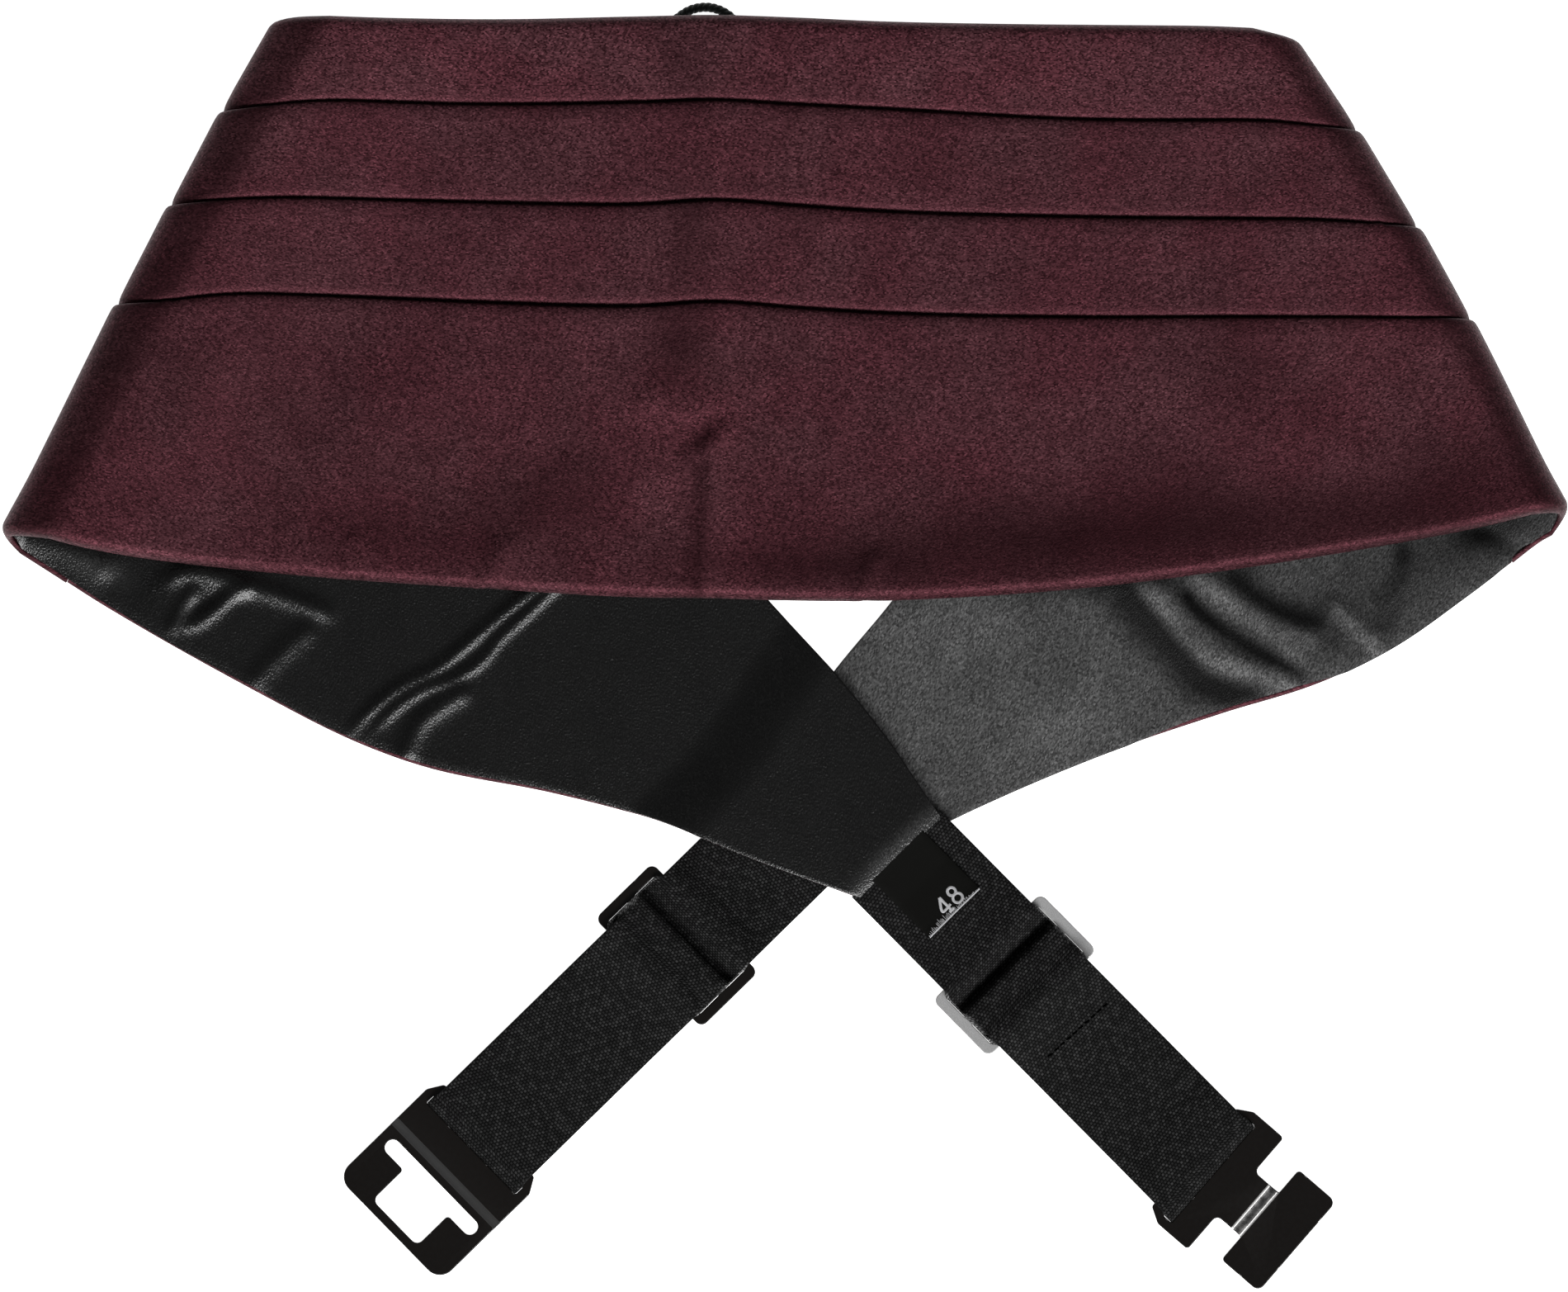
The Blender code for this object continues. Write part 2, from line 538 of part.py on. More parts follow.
# ---------------------------------------------------------------- metal
def rounded(corners):
    """An outline with its corners cut round, each corner an (along, across, radius)."""
    outline = []
    for index, (x, y, radius) in enumerate(corners):
        here = np.array([x, y])
        before = unit(np.array(corners[index - 1][:2]) - here)
        after = unit(np.array(corners[(index + 1) % len(corners)][:2]) - here)
        half = math.acos(before @ after) / 2
        start, end = here + before * radius / math.tan(half), here + after * radius / math.tan(half)
        for t in np.linspace(0, 1, 5 if radius > SMALL_CORNER else 3):
            # the rational quadratic curve that is an arc when its middle point weighs the sine of the half angle
            weights = np.array([(1 - t) ** 2, 2 * t * (1 - t) * math.sin(half), t**2])
            outline.append(weights @ np.array([start, here, end]) / weights.sum())
    return outline


def plate(name, origin, heading, outlines, underside, step=None, drop=0.0):
    """A sheet metal piece: outlines filled and given a thickness, then stepped down between two lines."""
    curve = bpy.data.curves.new(name + "_outline", "CURVE")
    curve.dimensions = "2D"
    curve.fill_mode = "BOTH"
    curve.extrude = METAL / 2
    for outline in outlines:
        spline = curve.splines.new("POLY")
        spline.points.add(len(outline) - 1)
        spline.points.foreach_set("co", np.array([(p[0], p[1], 0, 1) for p in outline]).ravel())
        spline.use_cyclic_u = True
    flat = bpy.data.objects.new(name + "_flat", curve)
    data = bpy.data.meshes.new_from_object(flat)
    mesh = bmesh.new()
    mesh.from_mesh(data)
    bpy.data.objects.remove(flat)
    bpy.data.curves.remove(curve)
    bpy.data.meshes.remove(data)
    bmesh.ops.remove_doubles(mesh, verts=mesh.verts[:], dist=0.001)
    if step:
        for at in (step[0], (step[0] + step[1]) / 2, step[1]):
            bmesh.ops.bisect_plane(mesh, geom=mesh.verts[:] + mesh.edges[:] + mesh.faces[:], dist=0.001,
                                   plane_co=(at, 0, 0), plane_no=(1, 0, 0))
    turn = math.radians(heading)
    for vert in mesh.verts:
        x, y, z = vert.co
        if step:
            z -= drop * float(ease((x - step[0]) / (step[1] - step[0])))
        vert.co = ((origin[0] + x * math.cos(turn) - y * math.sin(turn)) * MM,
                   (origin[1] + x * math.sin(turn) + y * math.cos(turn)) * MM,
                   (z + underside + METAL / 2) * MM)
    return finish_mesh(name, mesh, sharp=30.0)


def box_outline(x0, x1, width, radius):
    """A rectangle with rounded corners, centred across."""
    half = width / 2
    return rounded([(x0, -half, radius), (x1, -half, radius), (x1, half, radius), (x0, half, radius)])


def slider(name, side):
    """A three-bar slider, its bars across the elastic."""
    groove = side["groove"]
    bars = [(groove + a, groove + b) for a, b in SLIDER_BARS]
    outlines = [box_outline(bars[0][0], bars[2][1], SLIDER_WIDTH, 1.6),
                box_outline(bars[0][1], bars[1][0], SLIDER_SLOT, 0.5),
                box_outline(bars[1][1], bars[2][0], SLIDER_SLOT, 0.5)]
    origin = place_on(side, np.array(0.0), np.array(side["slider_shift"]), 0.0)
    return plate(name, origin, side["heading"], outlines, SLIDER_Z)


def plate_origin(side):
    """Where the elastic's fold crosses its middle line."""
    return place_on(side, np.array(ELASTIC_LENGTH), np.array(0.0), 0.0)


def hook_plate():
    """Base with its bar and slot for the elastic, a narrow neck, and a T head one step lower."""
    base, neck, head = PLATE_WIDTH / 2, HOOK_NECK / 2, HOOK_HEAD[2] / 2
    right = [(PLATE_BAR[0], PLATE_BAR_WIDTH / 2, 0.8), (PLATE_SHOULDER, base, 1.5), (HOOK_BASE_END, base, 0.8),
             (HOOK_BASE_END, neck, 1.2), (HOOK_HEAD[0], neck, 0.4), (HOOK_HEAD[0], head, 0.9),
             (HOOK_HEAD[1], head, 1.6)]
    outline = rounded(right + [(x, -y, radius) for x, y, radius in reversed(right)])
    slot = box_outline(PLATE_BAR[1], PLATE_SLOT_END, PLATE_SLOT, 0.4)
    return plate("hook_plate", plate_origin(HOOK_SIDE), HOOK_HEADING, [outline, slot], PLATE_Z, HOOK_STEP, PLATE_Z)


def slot_plate():
    """Base with its bar and slot for the elastic, and one step lower the T-shaped opening."""
    base, throat, mouth = PLATE_WIDTH / 2, SLOT_THROAT[2] / 2, SLOT_MOUTH[1] / 2
    right = [(PLATE_BAR[0], PLATE_BAR_WIDTH / 2, 0.8), (PLATE_SHOULDER, base, 1.5), (SLOT_PLATE_END, base, 3.4)]
    outline = rounded(right + [(x, -y, radius) for x, y, radius in reversed(right)])
    tee = [(SLOT_THROAT[0], throat, 1.5), (SLOT_THROAT[1], throat, 1.5), (SLOT_THROAT[1], mouth, 0.8),
           (SLOT_MOUTH[0], mouth, 1.4)]
    opening = rounded(tee + [(x, -y, radius) for x, y, radius in reversed(tee)])
    slot = box_outline(PLATE_BAR[1], PLATE_SLOT_END, PLATE_SLOT, 0.4)
    return plate("slot_plate", plate_origin(SLOT_SIDE), SLOT_SIDE["heading"], [outline, slot, opening], PLATE_Z,
                 SLOT_STEP, PLATE_Z)


def button_loop():
    """A short arch of cord, lying on the table behind the top edge."""
    share = np.linspace(0, 1, 15)
    middle = along(LOOP_ROUTE, share)
    step = unit(np.gradient(middle, axis=0))
    angles = np.linspace(0, 2 * math.pi, 8, endpoint=False)
    radius = LOOP_DIAMETER / 2
    rings = np.zeros((len(share), len(angles), 3))
    rings[..., 0] = middle[:, None, 0] - step[:, None, 1] * radius * np.cos(angles)
    rings[..., 1] = middle[:, None, 1] + step[:, None, 0] * radius * np.cos(angles)
    rings[..., 2] = LOOP_Z + radius * np.sin(angles)
    return ring_mesh("button_loop", rings)


# ---------------------------------------------------------------- finishes
def finish(name, colour, roughness, metallic=0.0, sheen=0.0):
    """A plain Principled material."""
    material = bpy.data.materials.new(name)
    material.use_nodes = True
    shader = material.node_tree.nodes["Principled BSDF"]
    shader.inputs["Base Color"].default_value = (*colour, 1.0)
    shader.inputs["Roughness"].default_value = roughness
    shader.inputs["Metallic"].default_value = metallic
    shader.inputs["Sheen Weight"].default_value = sheen
    return material


def main():
    for item in list(bpy.data.objects):
        bpy.data.objects.remove(item)
    satin = (0.070, 0.020, 0.027)
    black_satin = (0.015, 0.015, 0.016)
    band = (0.020, 0.020, 0.021)
    paint = (0.006, 0.006, 0.006)
    pieces = (
        (front_panel(), satin, 0.45, 0.0, 0.3),
        (front_lining(), black_satin, 0.35, 0.0, 0.1),
        (wing_shell("left"), satin, 0.45, 0.0, 0.3),
        (wing_shell("right"), satin, 0.45, 0.0, 0.3),
        (wing_lining("left", LEFT_CREASES), black_satin, 0.35, 0.0, 0.1),
        (wing_lining("right", RIGHT_CREASES), black_satin, 0.35, 0.0, 0.1),
        (button_loop(), (0.012, 0.014, 0.013), 0.7, 0.0, 0.2),
        (elastic("hook_strap", HOOK_SIDE), band, 0.75, 0.0, 0.2),
        (elastic("slot_strap", SLOT_SIDE), band, 0.75, 0.0, 0.2),
        (size_label(), (0.012, 0.012, 0.011), 0.6, 0.0, 0.1),
        (slider("hook_slider", HOOK_SIDE), (0.33, 0.33, 0.33), 0.4, 0.9, 0.0),
        (slider("slot_slider", SLOT_SIDE), paint, 0.35, 0.3, 0.0),
        (hook_plate(), paint, 0.35, 0.3, 0.0),
        (slot_plate(), paint, 0.35, 0.3, 0.0),
    )
    for piece, colour, roughness, metallic, sheen in pieces:
        piece.data.materials.append(finish(piece.name + "_finish", colour, roughness, metallic, sheen))


main()
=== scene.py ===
"""The looks of a pleated satin cummerbund, laid flat and folded in on its two wings.

Laid out as an add-on: an operator for each piece or group of like pieces and one for the stage, with their
sizes and colours as scene properties. Shapes are worked out in millimetres and put into the meshes in metres.
"""

import math

import bmesh
import bpy
import numpy as np
from bpy.props import FloatProperty, FloatVectorProperty, PointerProperty
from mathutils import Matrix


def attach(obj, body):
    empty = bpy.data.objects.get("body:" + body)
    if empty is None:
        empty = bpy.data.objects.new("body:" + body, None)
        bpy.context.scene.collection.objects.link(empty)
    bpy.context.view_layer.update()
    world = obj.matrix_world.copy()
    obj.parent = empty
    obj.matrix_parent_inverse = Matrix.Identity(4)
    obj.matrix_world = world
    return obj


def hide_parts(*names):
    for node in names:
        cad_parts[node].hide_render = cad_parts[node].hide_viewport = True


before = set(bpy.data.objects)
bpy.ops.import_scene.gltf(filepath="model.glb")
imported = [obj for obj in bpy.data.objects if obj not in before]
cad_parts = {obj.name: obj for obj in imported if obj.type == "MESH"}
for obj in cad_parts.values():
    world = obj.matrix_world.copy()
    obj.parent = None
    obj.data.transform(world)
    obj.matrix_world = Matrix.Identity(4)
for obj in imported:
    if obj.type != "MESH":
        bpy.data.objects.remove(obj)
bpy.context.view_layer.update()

bl_info = {
    "name": "Cummerbund",
    "version": (1, 0, 0),
    "blender": (4, 5, 0),
    "location": "3D View > Sidebar > Cummerbund",
    "description": "Dresses the solids of a pleated cummerbund in satin, lining, elastic and metal",
    "category": "Add Mesh",
}

MM = 0.001
ORIGIN = (0.14, 0.09)       # middle of the piece's outline, in the coordinates below
PATTERN = "pattern"         # every piece's UV map: metres along it and across it
PAINTED_TONE = "tone"               # attribute of painted light and shade on the cloth and the elastics: soft lighter and darker patches
EDGE = "edge"               # the metal's attribute for its rounded edges
SIDES = ("left", "right")

# ---------------------------------------------------------------- sizes of the cloth, as in the solids
LINING_TOP = 1.75           # depth of a lining's outer side under the garment's outer face
LINING_BOTTOM = 2.3         # depth of its inner side, which shows
LINING_THICKNESS = 0.55
LINING_HEIGHT = 117.0       # from the top edge to the hem
WING_LINING_TOP = 0.08      # how far in from a wing's top edge its lining starts
FRONT_LINING_IN = 0.75      # how far in from both long edges the front's lining starts
RIM_WIDTH, RIM_DROP = 0.5, 0.16             # rounding of a lining's rim
RIM_TAPER_WIDTH, RIM_TAPER = 1.6, 0.20      # how it thins towards its rim
END_ROLL_WIDTH, END_ROLL_DROP = 3.2, 0.50   # how it rolls down at a wing's end
SHELL_INSIDE = 0.95         # depth of the satin's inner side
ROLL_DEPTH = 1.9            # how deep the satin's rolled edges go
ROLL_REACH = 2.2            # how far in from an edge the satin's inner side starts
SKIN_OVER_WINGS = 5.6       # height of the front where it lies over the wings
FOLD_FALL = 42.0            # how far in from a side fold the front comes down to that height
CROSSING_LIFT = 2.65        # height of the left wing where it lies over the right one
CROSSING_RUN = 15.0         # how far before it starts to rise
SIDE_SEAM = 0.06            # share of a wing's length from the side fold to its seam with the front
SIDE_SEAM_GAP = 0.0016
LINING_SEAM = 0.05          # share of the front's width from the side fold to the lining's seam
LINING_SEAM_GAP = 0.0012
CREASE_FADE = 0.16          # share of a crease's length over which each end eases out
FRONT_RUN, WING_RUN = 290.0, 200.0          # about how long the front and a wing are
WING_END = 0.998            # share of a wing's length that its satin reaches
WING_BACK = (0.7, 0.25)     # how far a wing's satin stands back from its top edge and from its hem
WING_LEVEL = (3.3, 2.9)     # how far in from them it is level

# The front's five long lines, from the top edge to the hem: heights (y) at places across (x).
FRONT_LINES = (
    # x       top    pleat_1 pleat_2 pleat_3 hem
    (-158.0, 126.8, 108.6, 90.6, 71.5, 23.6),
    (-140.0, 127.0, 109.2, 90.6, 71.5, 19.3),
    (-100.0, 127.1, 110.1, 90.4, 70.8, 14.4),
    (-60.0, 126.5, 109.1, 89.3, 69.1, 11.5),
    (-30.0, 127.1, 109.5, 88.9, 68.4, 9.8),
    (-14.0, 127.4, 110.0, 89.8, 69.3, 9.6),
    (2.0, 126.9, 109.1, 88.7, 68.1, 9.1),
    (20.0, 126.1, 108.2, 87.5, 67.0, 9.1),
    (60.0, 125.4, 106.1, 86.4, 66.2, 11.6),
    (100.0, 125.0, 105.9, 86.0, 66.3, 16.8),
    (140.0, 124.3, 105.2, 85.4, 65.9, 23.8),
    (158.0, 124.0, 105.0, 85.0, 65.5, 28.2),
)

# The side folds. Slip is how far a long line slides along the fold as it turns, at the top edge and at the
# hem; lines are the shares of the fold's length above each long line; shoulder is how far in from the outer
# edge the upper half of the fold reaches, and rises how steeply each long line climbs outward there, or falls
# where it is negative.
FOLDS = {
    "left": dict(top=(-102.2, 126.4), hem=(-157.9, 22.4), bow=0.8, slip=(2.9, 1.7), shoulder=9.5,
                 rises=(0.0, -0.27, -0.27, -0.25, 0.0), lines=(0.0, 0.188, 0.371, 0.563, 1.0)),
    "right": dict(top=(102.4, 122.6), hem=(158.1, 26.8), bow=2.1, slip=(2.9, 2.4), shoulder=7.0,
                  rises=(-0.46, -0.42, -0.42, -0.36, 0.0), lines=(0.0, 0.211, 0.418, 0.611, 1.0)),
}
FOLD_RADIUS = (3.7, 4.8)    # at the top edge and at the hem
FOLD_SHARE = 0.08           # share of the front's width over which its lines bend to meet a fold

# The wings' two long edges, from the fold to the end, seen from above.
WING_EDGES = {
    "left": dict(
        top=((-3.4, 9.6), (9.9, -4.9), (21.6, -19.6), (28.2, -29.4), (31.7, -34.4)),
        hem=((-148.6, 14.9), (-136.8, 7.4), (-106.8, -9.5), (-86.8, -19.6), (-72.0, -24.9), (-46.8, -30.0),
             (-26.8, -35.3), (-5.0, -43.8), (14.9, -51.1))),
    "right": dict(
        top=((21.6, 9.1), (9.9, -5.1), (-7.4, -29.8)),
        hem=((153.1, 21.2), (146.9, 16.5), (138.2, 9.9), (123.2, -0.5), (108.0, -7.8), (88.2, -14.0),
             (63.2, -22.6), (32.4, -36.0), (9.9, -47.9))),
}
UNDER_LEFT_WING = ((30.0, 20.4), (9.9, -5.1), (-7.4, -29.8), (-17.2, -39.2), (-40.0, -61.5))

# Places along the garment's outer face: whole numbers part its five stretches.
LEFT_END, LEFT_UNDER, LEFT_OVER, RIGHT_OVER, RIGHT_UNDER, RIGHT_END = range(6)

# ---------------------------------------------------------------- creases, as the photo shows them
# Each is (points, width, height): a ridge along a smooth curve, or a trough where the height is negative. A
# fourth value marks a sharp crest.
FRONT_CREASES = (
    (((-14.3, 128.0), (-14.0, 100.0), (-14.2, 66.0)), 2.6, 0.30, "sharp"),
    (((-13.4, 47.0), (-14.6, 34.0), (-16.6, 2.0)), 2.4, 0.80, "sharp"),
    (((-10.5, 45.6), (-14.0, 41.6), (-20.5, 37.4)), 1.8, 0.50),
    (((-30.0, 52.0), (-22.0, 48.0), (-12.0, 49.0)), 4.5, 0.35),
    (((-54.5, 23.0), (-58.5, 16.5), (-62.0, 8.0)), 2.4, 0.55),
    (((-86.0, 24.0), (-87.5, 17.0), (-88.5, 8.0)), 2.4, 0.40),
    (((19.5, 20.0), (16.6, 13.5), (14.5, 5.0)), 2.2, 0.60),
    (((-62.0, 12.0), (-50.0, 26.0), (-40.0, 40.0)), 7.0, 0.30),
    (((-95.0, 30.0), (-80.0, 48.0), (-60.0, 62.0)), 12.0, 0.40),
    (((-132.0, 34.0), (-118.0, 50.0), (-108.0, 68.0)), 11.0, 0.35),
    (((25.0, 45.0), (42.0, 32.0), (60.0, 20.0)), 12.0, -0.30),
    (((2.0, 52.0), (8.0, 34.0), (6.0, 18.0)), 9.0, 0.30),
    (((95.0, 95.0), (108.0, 80.0), (120.0, 60.0)), 14.0, 0.35),
    (((70.0, 58.0), (95.0, 44.0), (128.0, 40.0)), 10.0, 0.35),
)
LEFT_CREASES = (
    (((-42.5, 17.0), (-50.6, 11.4), (-57.6, 5.9), (-63.6, 0.8), (-69.6, -4.1), (-77.4, -8.1), (-82.6, -12.1),
      (-90.0, -19.5)), 1.65, 0.72),
    (((-38.5, 17.5), (-47.0, 11.2), (-51.0, 7.4), (-57.6, 1.4), (-61.2, -3.1), (-67.2, -6.7), (-72.6, -8.7),
      (-77.6, -11.8), (-85.5, -19.5)), 1.65, 0.66),
    (((-62.5, -8.0), (-67.8, -11.2), (-73.4, -15.4), (-75.6, -19.4), (-77.0, -25.0)), 2.7, 0.72),
    (((-127.0, 11.5), (-121.6, 14.7), (-115.0, 14.2), (-109.0, 12.3), (-102.0, 10.2), (-96.0, 8.1),
      (-89.0, 5.0)), 2.3, 0.86),
    (((-106.5, 12.4), (-112.6, 9.6), (-115.6, 6.9), (-118.3, 5.0), (-121.0, 4.3), (-124.0, 4.6)), 2.0, 0.74),
    (((-124.6, 2.0), (-123.2, 5.2), (-121.6, 8.0), (-119.8, 10.6), (-118.4, 12.6)), 1.7, 0.46),
    (((-120.6, 6.2), (-117.4, 8.6), (-113.0, 11.0)), 1.5, -0.40),
    (((-94.0, 4.5), (-98.6, 1.3), (-105.3, -5.1), (-109.0, -9.0)), 3.0, 0.50),
    (((-163.0, 23.6), (-152.5, 22.0), (-144.5, 19.8), (-138.0, 15.8), (-135.0, 12.5)), 4.0, 0.90),
)
RIGHT_CREASES = (
    (((69.0, 17.0), (77.6, 10.2), (84.0, 4.4), (88.6, -1.2), (95.8, -5.2), (106.5, -9.5)), 3.3, 1.15),
    (((79.0, 18.5), (88.6, 12.2), (96.0, 7.4), (102.0, 4.4), (110.0, 1.0)), 3.2, 1.00),
    (((109.0, 10.0), (114.8, 5.6), (118.6, 2.0), (122.5, -3.0)), 2.3, 0.75),
    (((125.0, 20.0), (124.6, 13.5), (120.0, 6.0), (119.0, -1.0)), 3.0, 0.60),
    (((134.0, 27.0), (143.0, 22.6), (152.0, 17.5)), 3.4, -0.80),
    (((64.0, 12.0), (72.5, 2.5), (79.0, -5.0), (84.0, -12.0)), 3.4, -0.50),
)

# ---------------------------------------------------------------- painted light and shade, as the photo shows them
# Each is (x, y, half length, half width, heading in degrees, factor): a soft oval of painted light and shade,
# where the cloth is painted lighter, a painted highlight, when the factor is over 1, and darker, painted
# shade, when it is under 1.
FRONT_PAINTED_LIGHT_AND_SHADE = (
    (66.6, 22.5, 66.0, 9.5, 4.0, 0.18),
    (132.0, 30.0, 22.0, 13.0, 25.0, 0.45),
    (10.0, 16.5, 25.0, 4.5, 0.0, 0.40),
    (-50.0, 29.6, 16.0, 7.0, 20.0, 0.50),
    (-72.0, 22.0, 24.0, 6.5, -6.0, 0.60),
    (-106.0, 48.0, 26.0, 34.0, 60.0, 0.78),
    (-41.8, 27.5, 6.0, 5.5, 60.0, 0.66),
    (-21.4, 60.4, 6.5, 9.5, -8.0, 0.36),
    (-19.6, 81.5, 4.6, 10.5, -6.0, 0.52),
    (-20.0, 115.4, 5.0, 10.0, 0.0, 0.58),
    (-22.6, 47.3, 10.0, 4.5, 15.0, 1.45),
    (-25.0, 29.0, 4.0, 6.0, 0.0, 1.30),
    (-17.4, 25.0, 2.0, 17.0, -3.0, 0.50),
    (-15.6, 42.4, 3.4, 1.3, 42.0, 0.30),
    (-18.5, 38.5, 3.0, 3.0, 0.0, 0.75),
    (-9.0, 18.0, 3.0, 8.0, -3.0, 1.35),
    (91.6, 58.8, 9.0, 13.0, 10.0, 0.62),
    (80.0, 33.0, 14.0, 8.0, 0.0, 0.70),
    (52.0, 115.5, 52.0, 7.0, -1.0, 1.50),
    (-62.0, 118.0, 46.0, 8.0, 0.0, 1.38),
    (8.0, 94.0, 12.0, 7.0, 0.0, 1.16),
    (-130.0, 60.0, 10.0, 18.0, -28.0, 0.90),
)
LEFT_LINING_PAINTED_LIGHT_AND_SHADE = (
    (21.9, -41.4, 12.0, 1.8, 44.7, 7.0),
    (-138.5, 15.6, 5.5, 2.4, -22.0, 6.0),
    (-120.8, 7.0, 2.8, 0.9, 62.0, 7.0),
    (-127.0, 13.2, 5.0, 2.8, 45.0, 0.3),
)
RIGHT_LINING_PAINTED_LIGHT_AND_SHADE = (
    (142.0, 23.0, 12.0, 5.0, 22.0, 0.04),
    (70.0, 13.5, 26.0, 3.4, 6.0, 0.30),
    (54.9, -18.0, 13.0, 8.0, 25.0, 1.30),
    (36.0, 6.0, 14.0, 9.0, 40.0, 1.35),
    (118.0, 12.0, 26.0, 9.0, 22.0, 0.50),
    (111.5, 0.5, 5.0, 3.0, -30.0, 0.55),
)
# The same along lines, as painted highlights and shade: (points, half width, what is added to a tone of 1).
RIGHT_LINING_PAINTED_STREAKS = (
    (((60.0, 20.0), (67.3, 12.0), (72.0, 6.5), (76.6, 1.6), (80.0, -2.6), (84.0, -7.0), (92.0, -10.6),
      (102.0, -13.0)), 6.4, -0.98),
    (((79.0, 15.0), (82.8, 7.9), (91.0, 1.8), (96.0, -1.4), (100.3, -3.9), (109.0, -8.5)), 3.0, -0.95),
    (((88.0, 17.0), (95.5, 10.0), (102.3, 6.2), (112.0, 5.0)), 4.8, -0.85),
    (((124.5, 24.0), (124.8, 14.0), (123.5, 8.8), (120.0, 1.0)), 3.4, -0.70),
    (((69.0, 17.0), (76.8, 6.9), (81.6, 0.9), (86.5, -3.7), (97.8, -5.6), (107.0, -10.0)), 2.3, 1.00),
    (((76.0, 18.0), (87.4, 9.9), (92.3, 5.8), (97.3, 2.8), (102.1, -0.9), (108.5, -8.0)), 2.3, 0.75),
    (((110.0, 9.5), (113.6, 5.1), (118.9, -0.9), (121.5, -5.0)), 2.2, 0.75),
)
# Painted shade across a side fold, where the satin turns from the light: distance in from its outer edge,
# factor.
FOLD_PAINTED_SHADE = {
    "left": ((0.0, 0.85), (2.5, 0.58), (5.5, 0.40), (7.8, 0.42), (9.4, 0.80), (11.0, 1.0)),
    "right": ((0.0, 0.70), (1.5, 0.50), (3.8, 0.50), (5.5, 0.85), (7.5, 1.0)),
}
# How each satin shines: roughness and strength of its shine, contrast of its floats, how much lighter the
# brightest are, and their height in metres.
FRONT_SHEEN = dict(roughness=0.52, specular=0.22, contrast=1.05, speck=0.75, tooth=0.00006)
LEFT_LINING_SHEEN = dict(roughness=0.29, specular=0.36, contrast=0.95, speck=0.50, tooth=0.00008)
RIGHT_LINING_SHEEN = dict(roughness=0.46, specular=0.10, contrast=0.72, speck=0.40, tooth=0.00010)
RIGHT_LINING_PALER = 16.5   # how much paler the right lining's colour is painted: a painted sheen, as it faces the light

# ---------------------------------------------------------------- sections of the cloth
# The satin's outer side at a pleat: distance below the pleat's folded edge, then how deep the cloth lies
# there: where the pleat is closed, how much deeper where it gapes, and where the garment lies on the table;
# last, the painted shade of the cloth there, a factor that darkens the groove and the strips beside it.
PLEAT_SECTION = (
    # below closed  gaping flat  tone
    (-6.00, -1.02, 0.00, 0.00, 1.00),
    (-4.00, -0.97, 0.00, 0.00, 1.00),
    (-3.00, -0.94, 0.00, 0.00, 1.00),
    (-2.30, -0.90, 0.02, 0.02, 0.80),
    (-1.75, -0.83, 0.05, 0.04, 0.68),
    (-1.30, -0.74, 0.09, 0.08, 0.68),
    (-0.90, -0.63, 0.15, 0.12, 0.68),
    (-0.60, -0.50, 0.25, 0.18, 0.68),
    (-0.35, -0.33, 0.36, 0.22, 0.68),
    (-0.10, -0.10, 0.42, 0.26, 0.68),
    (0.25, 0.14, 0.42, 0.30, 0.68),
    (0.90, 0.26, 0.36, 0.34, 0.68),
    (1.50, 0.22, 0.34, 0.34, 0.68),
    (1.70, 0.06, 0.20, 0.26, 0.60),
    (1.50, -0.10, 0.06, 0.18, 0.60),
    (0.90, -0.20, 0.00, 0.16, 0.60),
    (0.40, -0.34, -0.06, 0.14, 0.60),
    (0.12, -0.56, -0.08, 0.11, 0.60),
    (0.00, -0.80, -0.09, 0.08, 0.60),
    (0.06, -1.02, -0.10, 0.04, 0.62),
    (0.24, -1.18, -0.11, 0.02, 0.62),
    (0.55, -1.28, -0.12, 0.00, 0.62),
    (1.00, -1.33, -0.12, 0.00, 0.62),
    (1.70, -1.35, -0.12, 0.00, 0.80),
    (2.70, -1.34, -0.09, 0.00, 0.80),
    (4.00, -1.30, -0.05, 0.00, 1.00),
    (6.00, -1.25, -0.02, 0.00, 1.00),
    (8.50, -1.18, 0.00, 0.00, 1.00),
)
# How far each pleat gapes, at places across (x).
PLEAT_GAPES = (
    # x       pleat_1 pleat_2 pleat_3
    (-125.0, 0.0, 0.0, 0.0),
    (-108.0, 0.1, 0.1, 0.2),
    (-90.0, 0.4, 0.3, 0.3),
    (-66.0, 0.6, 0.5, 0.9),
    (-40.0, 0.8, 0.9, 1.0),
    (-14.0, 0.5, 0.7, 0.7),
    (8.0, 0.7, 0.9, 0.8),
    (40.0, 0.5, 0.6, 0.5),
    (80.0, 0.6, 0.6, 0.3),
    (108.0, 0.4, 0.5, 0.2),
    (128.0, 0.0, 0.1, 0.0),
    (140.0, 0.0, 0.0, 0.0),
)
# Depth of the outer side between two pleats' sections: share of the way down, depth.
TIER_LEVELS = (
    ((0.0, -0.92), (1.0, -1.02)),
    ((0.0, -1.18), (1.0, -1.02)),
    ((0.0, -1.18), (1.0, -1.02)),
    ((0.0, -1.18), (0.55, -0.70), (0.75, -0.65), (1.0, -0.95)),
)
TIER_HEIGHTS = (17.2, 20.2, 20.5, 59.0)
# A rolled edge, from the outer side round to the inner one: distance in from the edge, depth where the outer
# side lies at depth 0.
ROLL_SECTION = (
    (2.40, 0.00), (1.90, 0.04), (1.45, 0.12), (1.00, 0.25), (0.62, 0.43), (0.28, 0.67), (0.06, 0.94),
    (0.02, 1.20), (0.12, 1.48), (0.32, 1.72), (0.60, 1.87), (0.85, ROLL_DEPTH), (1.06, 1.78), (1.14, 1.50),
    (1.16, 1.15), (1.30, SHELL_INSIDE),
)
ROLL_OUTER_ROWS = 7         # how many of its rows follow the height of the outer side
